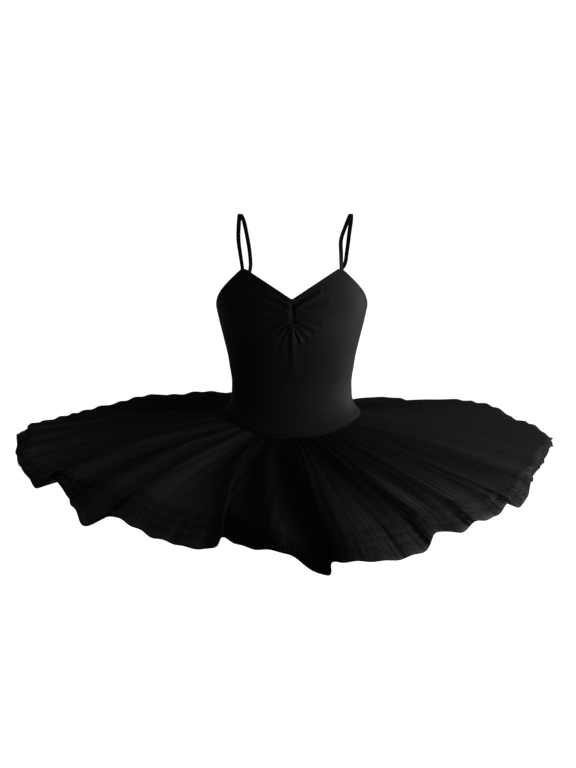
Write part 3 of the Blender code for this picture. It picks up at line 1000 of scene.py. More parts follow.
@dataclass
class Dresser:
    """Finishes pieces: material, body and the solids that they stand for."""

    wardrobe: Wardrobe
    body: str = "root"
    pieces: list[bpy.types.Object] = field(default_factory=list)

    def dress(self, piece: bpy.types.Object, material: bpy.types.Material, slot: Slot,
              stands_for: Sequence[str] = ()) -> bpy.types.Object:
        """Finishes one piece.

        Args:
            piece: The piece.
            material: Its material.
            slot: The record's slot; not used.
            stands_for: CAD nodes that it replaces.

        Returns:
            The same piece.
        """
        piece.data.materials.clear()
        piece.data.materials.append(material)
        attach(piece, self.body)
        for node in stands_for:
            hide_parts(node)
        self.pieces.append(piece)
        return piece


@dataclass(frozen=True)
class Gather:
    """One ridge or furrow of the gathered front: start, middle and end, height and breadth."""

    start: tuple[float, float]
    middle: tuple[float, float]
    end: tuple[float, float]
    height: float
    breadth: float
    steps: ClassVar[int] = 33
    gain: ClassVar[float] = 1.6
    start_share: ClassVar[float] = 0.35
    opens_over: ClassVar[float] = 0.2
    fade_power: ClassVar[float] = 0.42
    start_breadth: ClassVar[float] = 0.7
    spread: ClassVar[float] = 0.6

    def rise(self, x: Array, z: Array) -> Array:
        """How far the line lifts the cloth.

        Args:
            x: Places across the front.
            z: Their heights.

        Returns:
            The rise at each place.
        """
        t = np.linspace(0, 1, self.steps)[:, None]
        ends = np.array([self.start, self.middle, self.end], float)
        control = 2 * ends[1] - (ends[0] + ends[2]) / 2
        line = (1 - t) ** 2 * ends[0] + 2 * t * (1 - t) * control + t ** 2 * ends[2]
        apart = np.hypot(x[..., None] - line[:, 0], z[..., None] - line[:, 1])
        nearest = np.argmin(apart, axis=-1)
        along = nearest / (len(line) - 1)
        away = np.take_along_axis(apart, nearest[..., None], axis=-1)[..., 0]
        weight = np.minimum(1, self.start_share + along / self.opens_over)
        fade = self.gain * weight * (1 - along) ** self.fade_power
        return self.height * fade * bell(away, self.breadth * (self.start_breadth + self.spread * along))


GATHERS = (
    Gather((1, 169), (1, 147), (1, 121), -3.4, 4.2),
    Gather((-9, 167), (-21, 175), (-36, 183), -1.2, 3.0),
    Gather((-3, 160), (-22, 168), (-46, 177), 1.7, 3.6),
    Gather((-6, 154), (-36, 166), (-70, 178), -2.4, 3.6),
    Gather((-4, 148), (-30, 155), (-64, 168), 1.9, 4.6),
    Gather((-5, 141), (-26, 143), (-56, 150), -2.2, 3.4),
    Gather((-5, 138), (-30, 138), (-58, 142), 1.3, 3.6),
    Gather((-5, 134), (-34, 133), (-63, 136), -1.3, 4.0),
    Gather((-3, 131), (-17, 125), (-28, 113), 2.2, 2.8),
    Gather((-3, 126), (-15, 120), (-30, 108), -2.2, 2.6),
    Gather((-2, 123), (-13, 115), (-24, 103), 1.6, 2.2),
    Gather((-2, 121), (-11, 112), (-21, 98), -1.8, 2.2),
    Gather((-1, 119), (-7, 108), (-13, 95), 1.5, 2.2),
    Gather((-1, 117), (-5, 106), (-9, 93), -1.5, 2.2),
    Gather((1, 119), (1, 82), (3, 34), 1.7, 4.8),
    Gather((-6, 116), (-7, 84), (-6, 40), -0.8, 4.2),
    Gather((6, 160), (25, 173), (46, 185), -2.4, 4.0),
    Gather((8, 154), (29, 167), (52, 179), 2.0, 3.2),
    Gather((9, 150), (36, 160), (62, 165), -1.3, 5.4),
    Gather((8, 147), (38, 150), (66, 151), 0.8, 4.6),
    Gather((8, 143), (40, 144), (69, 144), -0.9, 4.6),
    Gather((7, 137), (29, 131), (49, 128), -1.9, 4.0),
    Gather((6, 131), (25, 126), (41, 116), 2.1, 2.8),
    Gather((7, 125), (22, 119), (37, 110), -1.8, 2.4),
    Gather((7, 122), (20, 113), (30, 102), 1.7, 2.4),
    Gather((5, 121), (16, 108), (24, 95), -1.8, 2.2),
    Gather((5, 118), (12, 104), (18, 91), 1.6, 2.2),
    Gather((4, 117), (8, 104), (11, 90), -1.5, 2.0),
    Gather((-20, 100), (-24, 80), (-32, 62), -0.5, 5.0),
)


@dataclass
class Bodice:
    """Front and back of the bodice, in jersey, with the gathered centre front."""

    dresser: Dresser
    front_columns: int = 206
    front_rows: int = 176
    back_columns: int = 120
    back_rows: int = 90
    row_ease: float = 1.3
    even_share: float = 0.45
    tuck: float = 1.0
    side_radius: float = 85.0
    casing_x: float = 1.0
    casing_breadth: float = 9.0
    casing_foot: float = 112.0
    casing_rise: float = 10.0
    pucker_height: float = 0.55
    pucker_pitch: float = 3.6
    pucker_slant: float = 0.25
    pucker_offset: float = 0.8
    flat_above: float = 2.0
    flattens_over: float = 7.0
    least_gather: float = 0.1
    front: Optional[bpy.types.Object] = None
    back: Optional[bpy.types.Object] = None

    def grid(self, angles: Array, shares: Array) -> tuple[Array, Array, Array]:
        """Places of a panel's points.

        Args:
            angles: Angles of its columns.
            shares: Heights of its rows, as shares of the way up from the hip seam.

        Returns:
            Angles, heights and the heights of the panel's top, rows by columns.
        """
        width = BINDING_WIDTH - self.tuck
        top = np.minimum(FIGURE.below_edge(angles, width, 1), FIGURE.below_edge(angles, width, -1))
        bottom = FIGURE.hip_seam(angles)
        z = bottom[None, :] + (top - bottom)[None, :] * shares[:, None]
        angle = np.broadcast_to(angles[None, :], z.shape)
        return angle, z, np.broadcast_to(top[None, :], z.shape)

    def seams(self, angle: Array, z: Array) -> Array:
        """How far the cloth dips beside its side seams and turns in at its hem.

        Args:
            angle: Angles of the points.
            z: Their heights.

        Returns:
            The dip at each point.
        """
        turned = np.abs(np.arctan2(np.sin(angle), np.cos(angle)))
        from_side = np.abs(np.pi / 2 - turned) * self.side_radius
        hem = z - FIGURE.hip_seam(angle)
        return SEAM_DIP * bell(from_side, SEAM_BREADTH) + SEAM_DIP * bell(hem, SEAM_BREADTH)

    def gathers(self, x: Array, z: Array, top: Array) -> Array:
        """Rise of the gathered centre front, with fine puckers beside its casing.

        Args:
            x: Places across the front.
            z: Their heights.
            top: Height of the panel's top edge there, towards which the gathers flatten.

        Returns:
            The rise at each place.
        """
        rise = sum(gather.rise(x, z) for gather in GATHERS)
        casing = bell(np.abs(x - self.casing_x), self.casing_breadth)
        casing = casing * np.clip((z - self.casing_foot) / self.casing_rise, 0, 1)
        wobble = 2 * math.pi * (z + self.pucker_slant * np.abs(x)) / self.pucker_pitch
        puckers = self.pucker_height * casing * np.sin(wobble + self.pucker_offset * np.sign(x))
        flattened = np.clip((top - z + self.flat_above) / self.flattens_over, self.least_gather, 1)
        return (rise + puckers) * flattened

    def panel(self, name: str, angles: Array, shares: Array, gathered: bool) -> bpy.types.Object:
        """Makes one panel.

        Args:
            name: The piece's name.
            angles: Angles of its columns.
            shares: Heights of its rows, as shares of the way up from the hip seam.
            gathered: Whether it has the gathered centre.

        Returns:
            The new piece.
        """
        angle, z, top = self.grid(angles, shares)
        point, normal = FIGURE.point(angle, z), FIGURE.normal(angle, z)
        offset = -self.seams(angle, z)
        if gathered:
            offset = offset + self.gathers(point[..., 0], z, top)
        grid = point + normal * offset[..., None]
        flat_x = np.cumsum(np.linalg.norm(np.diff(point[-1], axis=0, prepend=point[-1][:1]), axis=-1))
        cut = np.stack([np.broadcast_to(flat_x[None, :], z.shape), z], axis=-1)
        return Mesher.cloth(name, grid, cut, JERSEY_WALL, closed=False)

    def build(self) -> None:
        """Builds and dresses both panels."""
        t = np.linspace(-1, 1, self.front_columns + 1)
        packed = self.even_share * t + (1 - self.even_share) * t ** 3
        self.front = self.panel("bodice_front_panel", (math.pi / 2 + PANEL_LAP) * packed,
                                eased(1, 0, self.front_rows, self.row_ease), True)
        angles = np.linspace(math.pi / 2 - PANEL_LAP, 3 * math.pi / 2 + PANEL_LAP, self.back_columns + 1)
        self.back = self.panel("bodice_back_panel", angles, eased(1, 0, self.back_rows), False)
        jersey = self.dresser.wardrobe.jersey
        self.dresser.dress(self.front, jersey, Slot.JERSEY, ("bodice_front",))
        self.dresser.dress(self.back, jersey, Slot.JERSEY, ("bodice_back",))


@dataclass
class Brief:
    """Front and back of the brief, in jersey, from the hip seam to the crotch seam."""

    dresser: Dresser
    columns: int = 84
    upper_rows: int = 26
    lower_rows: int = 44
    side_run: float = 150.0
    crotch_run: float = 100.0
    fall_run: float = 120.0
    upper_width: float = 190.0
    lower_width: float = 121.0
    front: Optional[bpy.types.Object] = None
    back: Optional[bpy.types.Object] = None

    def panel(self, name: str, front: bool) -> bpy.types.Object:
        """Makes one panel.

        Args:
            name: The piece's name.
            front: Whether it is the front one.

        Returns:
            The new piece.
        """
        t = np.linspace(-1, 1, self.columns + 1)
        angles = (math.pi / 2 + PANEL_LAP) * t
        if not front:
            angles = math.pi - angles
        top = FIGURE.hip_seam(angles) + SEAM_LAP
        levels = np.linspace(0, 1, self.upper_rows + 1)[:, None]
        z = top[None, :] + (FIGURE.leg_top - top)[None, :] * levels
        angle = np.broadcast_to(angles[None, :], z.shape)
        fall = np.linspace(0, math.pi / 2 + PANEL_LAP, self.lower_rows + 1)[1:, None]
        reach = FIGURE.leg_edge(front, fall)
        across = reach * t[None, :]
        points = np.concatenate([FIGURE.point(angle, z), FIGURE.brief_point(front, fall, across)])
        normals = np.concatenate([FIGURE.normal(angle, z), FIGURE.brief_normal(front, fall, across)])
        from_side = np.abs(np.abs(t[None, :]) - 1) * np.ones_like(z) * self.side_run
        from_crotch = (math.pi / 2 - fall) * self.crotch_run * np.ones_like(across)
        dip = np.concatenate([SEAM_DIP * bell(side, SEAM_BREADTH) for side in (from_side, from_crotch)])
        grid = points - normals * dip[..., None]
        down = np.concatenate([top.mean() - z[:, :1], top.mean() - FIGURE.leg_top + self.fall_run * fall])
        wide = np.concatenate([np.full_like(z, self.upper_width),
                               self.lower_width * reach * np.ones_like(across)])
        cut = np.stack([wide * t[None, :], -down * np.ones_like(wide)], axis=-1)
        if not front:
            grid, cut = grid[:, ::-1], cut[:, ::-1] * np.array([-1.0, 1.0])
        return Mesher.cloth(name, grid, cut, JERSEY_WALL, closed=False)

    def build(self) -> None:
        """Builds and dresses both panels."""
        self.front = self.panel("brief_front_panel", True)
        self.back = self.panel("brief_back_panel", False)
        jersey = self.dresser.wardrobe.jersey
        self.dresser.dress(self.front, jersey, Slot.JERSEY, ("brief_front",))
        self.dresser.dress(self.back, jersey, Slot.JERSEY, ("brief_back",))


@dataclass(frozen=True)
class Strip:
    """Rounded section of a folded binding or a flat elastic, drawn across its width and depth."""

    start: float
    end: float
    outer: float
    inner: float
    groove_at: float = -1.0
    groove: float = 0.0
    corner: ClassVar[float] = 0.75
    corner_points: ClassVar[int] = 4
    face_points: ClassVar[int] = 8
    groove_breadth: ClassVar[float] = 0.5

    def places(self) -> tuple[Array, Array]:
        """Places round the section.

        Returns:
            How far across the width each lies, and how far out of the surface.
        """
        radius = min((self.outer - self.inner) / 2, self.corner)
        turn = np.linspace(0, math.pi / 2, self.corner_points)
        right, left = self.end - radius, self.start + radius
        high, low = self.outer - radius, self.inner + radius
        corners = [(x + radius * np.cos(start + turn), y + radius * np.sin(start + turn))
                   for x, y, start in ((right, low, -math.pi / 2), (right, high, 0.0),
                                       (left, high, math.pi / 2), (left, low, math.pi))]
        face = np.linspace(right, left, self.face_points)[1:-1]
        sewn = self.outer - self.groove * bell(face - self.groove_at, self.groove_breadth)
        across, out = zip(*corners[:2], (face, sewn), *corners[2:])
        return np.concatenate(across), np.concatenate(out)


@dataclass
class Trim:
    """Folded bindings round the neckline, armholes and legs, with their stitching."""

    dresser: Dresser
    neck_stations: int = 60
    armhole_stations: int = 61
    leg_stations: int = 90
    hip_stations: int = 361
    stitch_pitch: float = 3.0
    stitch_width: float = 0.55
    stitch_row: float = 4.7
    leg_row: float = 1.3
    leg_start: float = -0.7
    leg_side_angle: float = 89.9
    hip_row: float = 2.6
    made: dict[str, bpy.types.Object] = field(default_factory=dict)

    def bind(self, name: str, rings: Array, closed: bool) -> None:
        """Makes a binding's strip, which stands for the CAD node of its name."""
        piece = Mesher.swept(name + "_strip", rings, closed)
        self.made[name] = self.dresser.dress(piece, self.dresser.wardrobe.binding, Slot.BINDING, (name,))

    def sew(self, name: str, path: Array, normal: Array) -> None:
        """Adds a row of stitches along a path."""
        row = Mesher.stitches(name, path, normal, self.stitch_pitch, self.stitch_width)
        self.made[name] = self.dresser.dress(row, self.dresser.wardrobe.thread, Slot.BINDING)

    def edge_binding(self, name: str, angles: Array, sides: Array) -> None:
        """Binding along a top edge, with its row of stitches.

        Args:
            name: The CAD node that it stands for.
            angles: Angles of its stations.
            sides: Side on which the edge's slope is read at each station.
        """
        top = FIGURE.edge(angles)
        full = FIGURE.below_edge(angles, BINDING_WIDTH, sides)
        strip = Strip(0.0, BINDING_WIDTH, BINDING_PROUD, BINDING_INNER, self.stitch_row, GROOVE)
        across, out = strip.places()
        z = top[:, None] + (full - top)[:, None] * (across[None, :] / BINDING_WIDTH)
        angle = np.broadcast_to(angles[:, None], z.shape)
        self.bind(name, FIGURE.point(angle, z) + FIGURE.normal(angle, z) * out[None, :, None], closed=False)
        row = top + (full - top) * self.stitch_row / BINDING_WIDTH
        normal = FIGURE.normal(angles, row)
        path = FIGURE.point(angles, row) + normal * (BINDING_PROUD - THREAD_SUNK)
        self.sew(name + "_stitches", path, normal)

    def neck_binding(self, name: str, middle: float, reach: float) -> None:
        """Binding along the neckline of the front or the back.

        Args:
            name: The CAD node that it stands for.
            middle: Angle of the neckline's middle.
            reach: Angle from there to the strap seats.
        """
        half = np.linspace(0, reach + BINDING_LAP, self.neck_stations + 1)[1:]
        sides = np.ones(self.neck_stations)
        self.edge_binding(name, np.concatenate([middle - half[::-1], middle + half]),
                          np.concatenate([sides, -sides]))

    def leg_binding(self, name: str, side: Side) -> None:
        """Binding round a leg opening, just outside the brief's edge, with its stitches.

        Args:
            name: The CAD node that it stands for.
            side: The leg's side.
        """
        falls = np.linspace(0, math.pi / 2, self.leg_stations + 1)

        def half(front: bool, turns: Array) -> tuple[Array, Array]:
            """One half of the opening.

            Args:
                front: Whether it is the front half.
                turns: Angles down and under.

            Returns:
                Places along it, and the directions straight out of the brief there.
            """
            limit = math.radians(self.leg_side_angle)
            across = np.minimum(FIGURE.leg_edge(front, turns), limit) * side.value
            return FIGURE.brief_point(front, turns, across), FIGURE.brief_normal(front, turns, across)

        halves = zip(half(True, falls[::-1]), half(False, falls[1:-1]))
        edge, normals = (np.concatenate(parts) for parts in halves)
        along = unit(np.roll(edge, -1, axis=0) - np.roll(edge, 1, axis=0))
        outward = unit(np.cross(along, normals)) * side.value
        strip = Strip(self.leg_start, BINDING_WIDTH, BINDING_PROUD, BINDING_INNER, self.leg_row, GROOVE)
        across, out = strip.places()
        rings = (edge[:, None] + outward[:, None] * across[None, :, None]
                 + normals[:, None] * out[None, :, None])
        self.bind(name, rings, closed=True)
        path = edge + outward * self.leg_row + normals * (BINDING_PROUD - THREAD_SUNK)
        self.sew(name + "_stitches", np.vstack([path, path[:1]]), np.vstack([normals, normals[:1]]))

    def build(self) -> None:
        """Builds every binding, and the row of stitches above the hip seam."""
        seat = math.radians(FIGURE.front_seat_angle)
        back_seat = math.pi - math.radians(FIGURE.back_seat_angle)
        self.neck_binding("neck_binding_front", 0.0, seat)
        self.neck_binding("neck_binding_back", math.pi, math.pi - back_seat)
        under, count = math.pi / 2, self.armhole_stations
        angles = np.concatenate([np.linspace(seat - BINDING_LAP, under, count)[:-1],
                                 np.linspace(under, back_seat + BINDING_LAP, count)])
        sides = np.concatenate([np.ones(count), -np.ones(count - 1)])
        self.edge_binding("armhole_binding_right", angles, sides)
        self.edge_binding("armhole_binding_left", -angles[::-1], -sides[::-1])
        self.leg_binding("leg_binding_right", Side.RIGHT)
        self.leg_binding("leg_binding_left", Side.LEFT)
        angle = np.linspace(-math.pi, math.pi, self.hip_stations)
        row = FIGURE.hip_seam(angle) + self.hip_row
        normal = FIGURE.normal(angle, row)
        self.sew("hip_seam_stitches", FIGURE.point(angle, row) - normal * THREAD_SUNK, normal)


@dataclass(frozen=True)
class StrapPoint:
    """A point on a strap's middle line, the turn of its width, and the sway of both loops."""

    x: float
    y: float
    height: float
    turn: float
    lean: float


@dataclass
class Straps:
    """Flat elastic straps from the front seats over the shoulders to the back seats."""

    dresser: Dresser
    width: float = 7.5
    thickness: float = 1.5
    tail: float = 9.0
    inset: float = 2.8
    steps: int = 12
    route: tuple[StrapPoint, ...] = (
        StrapPoint(84.8, -62.0, 240.0, 24, -2),
        StrapPoint(86.6, -48.0, 262.0, 14, -3.5),
        StrapPoint(91.0, -28.0, 284.0, 6, 1),
        StrapPoint(94.5, -2.0, 298.75, 0, 6),
        StrapPoint(92.5, 24.0, 284.0, -6, 9.5),
        StrapPoint(89.2, 44.0, 258.0, -13, 10.7),
        StrapPoint(85.5, 60.0, 226.0, -21, 11.5),
        StrapPoint(82.5, 69.0, 198.0, -28, 10),
    )
    made: list[bpy.types.Object] = field(default_factory=list)

    def seat(self, angle: float, height: float) -> list[list[float]]:
        """The strap's end inside an edge.

        Args:
            angle: Angle of the seat.
            height: Height of the seat.

        Returns:
            Rows for its tail and for the place where it leaves the bodice.
        """
        rows = []
        for z in (height - self.tail, height):
            place = (np.array(angle), np.array(z))
            at = FIGURE.point(*place) - FIGURE.normal(*place) * self.inset
            around = FIGURE.round_body(*place)
            turn = math.degrees(math.atan2(around[1], around[0]))
            rows.append([at[0], at[1], z, turn - 180 if turn > 90 else turn, 0.0])
        return rows

    def strap(self, name: str, side: Side) -> None:
        """Makes one strap.

        Args:
            name: The CAD node that it stands for.
            side: The strap's side.
        """
        front = self.seat(math.radians(FIGURE.front_seat_angle), FIGURE.strap_seat)
        back = self.seat(math.pi - math.radians(FIGURE.back_seat_angle), FIGURE.back_seat)
        route = np.array(front + [list(astuple(point)) for point in self.route] + back[::-1])
        padded = np.vstack([route[0], route, route[-1]])
        shares = np.linspace(0, 1, self.steps + 1)[:-1]
        line = [curve(*padded[n:n + 4], t) for n in range(len(route) - 1) for t in shares]
        path = np.array(line + [route[-1]])
        centre, turn, lean = path[:, :3], np.radians(path[:, 3]), path[:, 4:] * np.array([1.0, 0.0, 0.0])
        wide = np.stack([np.cos(turn), np.sin(turn), np.zeros_like(turn)], -1)
        face = unit(np.cross(wide, np.gradient(centre, axis=0)))
        across, out = Strip(-self.width / 2, self.width / 2, self.thickness / 2, -self.thickness / 2).places()
        rings = centre[:, None] + wide[:, None] * across[None, :, None] + face[:, None] * out[None, :, None]
        rings = rings * np.array([side.value, 1, 1]) + lean[:, None]
        piece = Mesher.swept(name + "_elastic", rings, closed=False)
        self.made.append(self.dresser.dress(piece, self.dresser.wardrobe.elastic, Slot.ELASTIC, (name,)))

    def build(self) -> None:
        """Builds both straps."""
        self.strap("strap_right", Side.RIGHT)
        self.strap("strap_left", Side.LEFT)


@dataclass(frozen=True)
class Fold:
    """A ridge or trough line of the skirt, from its seam to its edge; bearing 0 is the front."""

    root_bearing: float
    rim_bearing: float
    height: float
    reach: float


@dataclass(frozen=True)
class LayerEdge:
    """How a layer's edge differs: length, how far it follows the petals, waves, setback and fading."""

    longer: float
    petals: float
    waves: int
    wave: float
    setback: float
    fades: float


FOLDS = (
    Fold(-180, -180, -4, 462), Fold(-172, -172, 4, 468), Fold(-165, -165, 1, 458), Fold(-157, -157, 4, 466),
    Fold(-150, -150, 0, 459), Fold(-143, -142, 4, 470), Fold(-136, -134, 1, 464), Fold(-129, -127, -2, 476),
    Fold(-122, -119, -4, 470), Fold(-115, -111, -4, 480), Fold(-108, -104, -3, 496), Fold(-102, -97, 6, 497),
    Fold(-96, -91, -3, 488), Fold(-91, -85, 4, 482), Fold(-86, -79.5, -3, 472), Fold(-81, -74, 10, 474),
    Fold(-75, -66, -7, 463), Fold(-69, -61.5, 12, 445), Fold(-63, -55.5, -4, 443), Fold(-57, -49.5, 3, 461),
    Fold(-51, -43.2, -9, 473), Fold(-46, -39.5, 3, 443), Fold(-40, -28, -7, 452), Fold(-33, -15.8, 1, 464),
    Fold(-29, -14, -2, 418), Fold(-24, -9.5, -7, 433), Fold(-18, -1.2, -3, 454), Fold(-10, 5.9, -12, 501),
    Fold(-3, 7.2, -1, 482), Fold(5, 10.4, 3, 490), Fold(15, 23.1, -7, 489), Fold(22, 29.4, 1, 458),
    Fold(29, 34, -5, 467), Fold(37, 38.8, 2, 463), Fold(45, 44.5, -5, 463), Fold(52, 48.5, 3, 458),
    Fold(58, 52.5, -11, 465), Fold(65, 59.5, 5, 454), Fold(71, 67, -1, 438), Fold(77, 74, 3, 440),
    Fold(84, 81, -3, 442), Fold(91, 88.5, 3, 453), Fold(99, 97, -2, 472), Fold(107, 105, 2, 458),
    Fold(115, 113, -4, 450), Fold(123, 121, 2, 458), Fold(131, 129.5, 2, 454), Fold(139, 138, 2, 462),
    Fold(147, 146, -4, 456), Fold(155, 155, 4, 464), Fold(163, 163, -4, 458), Fold(172, 172, 4, 466),
)

# Height of the skirt's rim, by bearing.
RIM = SmoothTable(
    (-180, -165, -150, -125, -100, -80, -60, -45, -30, -15, -4, 6, 16, 27, 40, 55, 70, 90, 110, 125, 138,
     150, 165, 180),
    (-133, -126, -117, -109, -94, -110, -110, -121, -127, -137, -138, -141, -138, -127, -120, -106, -104,
     -105, -107, -105, -115, -128, -135, -133))

# How late the folds rise on their way out, by bearing.
LATE = SmoothTable(
    (-180, -140, -100, 20, 32, 46, 53, 61, 70, 120, 150, 180),
    (0.4, 0.3, 0.0, 0.0, 0.75, 0.75, 0.1, 0.1, 0.9, 0.9, 0.6, 0.4))

# Painted light and shade on the net, by bearing: the share of its lighter tone at the seam and at the rim,
# darkest in the front's middle.
ROOT_PAINTED_SHADING = SmoothTable(
    (-180, -125, -100, -80, -60, -36, -24, -17, -6, 0, 26, 36, 50, 62, 80, 120, 180),
    (0.20, 0.12, 0.38, 0.50, 0.45, 0.70, 0.60, 0.15, 0.07, 0.05, 0.06, 0.18, 0.42, 0.54, 0.62, 0.48, 0.20))

RIM_PAINTED_SHADING = SmoothTable(
    (-180, -125, -100, -80, -60, -46, -34, -24, -19, -15, -9, -4, -1.5, 1.5, 9, 11.5, 17, 25, 38, 50, 62, 80,
     130, 180),
    (0.50, 0.33, 0.90, 1.60, 0.80, 1.10, 1.35, 1.40, 1.20, 0.12, 0.10, 0.14, 0.80, 0.10, 0.10, 0.55, 1.00,
     1.25, 1.25, 1.08, 0.62, 0.40, 0.62, 0.50))

# How strong the net's streaks and its fine pleats are, by bearing.
STREAKING = SmoothTable(
    (-180, -90, -60, -30, 0, 15, 30, 50, 62, 80, 120, 150, 180),
    (0.8, 0.6, 0.5, 0.55, 0.6, 0.9, 1.4, 1.1, 0.6, 0.35, 0.4, 0.8, 0.8))

PLEATING = SmoothTable(
    (-180, -100, -60, -20, 20, 40, 55, 70, 120, 150, 180),
    (1.0, 0.9, 0.8, 0.8, 0.8, 0.6, 0.35, 0.22, 0.25, 0.8, 1.0))

# How far the upper layers end before the lowest one, by bearing.
SETBACK = SmoothTable(
    (-180, -95, -78, -64, -56, -48, -40, -30, -20, -12, -4, 4, 12, 22, 34, 48, 62, 100, 180),
    (0, 4, 8, 6, 26, 46, 44, 40, 52, 34, 12, 8, 26, 40, 30, 20, 3, 0, 0))


@dataclass
class Skirt:
    """Four gathered layers of net round the hips."""

    dresser: Dresser
    samples: int = 14
    rings: int = 38
    ring_ease: float = 1.35
    root_drop: float = 3.0
    root_gap: float = 0.7
    root_step: float = 10.0
    rim_step: float = 5.0
    front_closeness: float = 0.55
    mean_reach: float = 462.0
    straightness: float = 0.6
    turn_power: float = 1.5
    seam_height: float = 0.12
    crest: float = 0.7
    late_crest: float = 0.28
    rise_power: float = 1.3
    late_power: float = 2.2
    root_gathers: int = 76
    gather_height: float = 2.6
    gather_fade: float = 30.0
    nicks: int = 47
    nick: float = 1.3
    flutters: int = 67
    flutter: float = 1.4
    flutter_share: float = 0.2
    fade: float = 48.0
    fade_start: float = 0.35
    fade_span: float = 0.4
    # How soon the painted light and shade of the net turns from the seam's table to the rim's.
    painted_shading_power: float = 2.4
    pleats: tuple[tuple[int, float], ...] = ((97, 0.9), (141, 0.7), (59, 1.2))
    edges: tuple[LayerEdge, ...] = (
        LayerEdge(-2, 0.55, 17, 4.0, 1.0, 1.0),
        LayerEdge(-4, 0.65, 13, 4.0, 0.5, 1.0),
        LayerEdge(-2, 0.80, 19, 3.0, 0.15, 0.9),
        LayerEdge(0, 1.00, 0, 0.0, 0.0, 0.0),
    )
    panels: tuple[str, ...] = ("back_left", "front_left", "front_right", "back_right")
    made: list[bpy.types.Object] = field(default_factory=list)

    def columns(self) -> Array:
        """Columns of points, smooth from fold to fold.

        Returns:
            Root bearing, rim bearing, height and reach, each for every column.
        """
        rows = np.array([astuple(fold) for fold in FOLDS])
        turn = np.array([360.0, 360.0, 0.0, 0.0])
        count = len(rows)
        place = np.arange(count * self.samples) / self.samples
        n = place.astype(int)

        def row(at: Array) -> Array:
            """Fold rows at any whole number, carried on round the skirt."""
            return rows[at % count] + turn * (at // count)[:, None]

        return curve(row(n - 1), row(n), row(n + 1), row(n + 2), (place - n)[:, None]).T

    def seat(self, root: Array, drop: float) -> tuple[Array, Array]:
        """Where a layer is sewn on.

        Args:
            root: Bearings.
            drop: How far below the hip seam it is sewn.

        Returns:
            Its distance from the body's middle, and its height.
        """
        half_width, depth = FIGURE.section(np.full(root.shape, FIGURE.hip_side - drop), root)
        angle = np.arctan2(np.sin(root) / half_width, np.cos(root) / depth)
        height = FIGURE.hip_seam(angle) - drop
        seat = FIGURE.point(angle, height) + FIGURE.normal(angle, height) * self.root_gap
        return np.hypot(seat[..., 0], seat[..., 1]), height

    def outline(self, layer: int, rim: Array, wrapped: Array, reach: Array) -> Array:
        """How far a layer's edge stands out.

        Args:
            layer: The layer.
            rim: Bearings of its columns, in radians.
            wrapped: The same in degrees, from -180 to 180.
            reach: How far the folds stand out.

        Returns:
            The distance from the body's middle at each column.
        """
        edge = self.edges[layer]
        petals = np.where(reach > self.mean_reach, edge.petals, 1.0)
        return (self.mean_reach + edge.longer + petals * (reach - self.mean_reach)
                + edge.wave * np.sin(edge.waves * rim + layer)
                - edge.setback * SETBACK.read(wrapped) + self.nick * np.sin(self.nicks * rim + 2 * layer))

    def swell(self, full: Array, late: Array) -> Array:
        """Share of its height that a fold has on its way out.

        Args:
            full: Share of the way out.
            late: How late the folds rise there, from 0 to 1.

        Returns:
            The share of the height, 1 at the rim.
        """
        start = self.seam_height * (1 - late)
        crest, power = self.crest + self.late_crest * late, self.rise_power + self.late_power * late
        return start + (1 - start) * np.sin(math.pi / 2 * np.minimum(full / crest, 1)) ** power

    def root_gathering(self, layer: int, root: Array, out: Array) -> Array:
        """Small uneven gathers beside the seam.

        Args:
            layer: The layer.
            root: Bearings.
            out: Distance from the seam.

        Returns:
            The gathers' rise.
        """
        uneven = 0.45 + 0.35 * np.sin(5 * root + 0.8) + 0.2 * np.sin(11 * root)
        gathered = self.gather_height * uneven * np.exp(-out / self.gather_fade)
        wobble = 1.6 * np.sin(9 * root) + 0.9 * np.sin(17 * root + layer)
        return gathered * np.sin(self.root_gathers * root + wobble + 1.7 * layer)

    def fine_pleats(self, layer: int, bearing: Array, share: Array) -> Array:
        """Small pleats between the large folds, strongest half way out.

        Args:
            layer: The layer.
            bearing: Bearings of the points.
            share: Their share of the way out.

        Returns:
            The pleats' rise.
        """
        total = np.zeros_like(bearing * share)
        for n, (count, height) in enumerate(self.pleats):
            drift = 0.5 * np.sin(7 * bearing + 3 * n) + 0.35 * np.sin(13 * bearing + n)
            strength = 0.55 + 0.45 * np.sin(5 * bearing + 2.1 * n + 0.3 * layer + 2 * share)
            total = total + height * strength * np.sin(count * bearing + 4 * drift + n + 0.3 * layer)
        return total * np.sin(math.pi * np.clip(share, 0, 1)) ** 0.7

    def mark(self, piece: bpy.types.Object, name: str, values: Array) -> None:
        """Stores a value at every point of a layer, for its material to read."""
        marks = piece.data.attributes.new(name, "FLOAT", "POINT")
        marks.data.foreach_set("value", values.ravel().astype(np.float32))

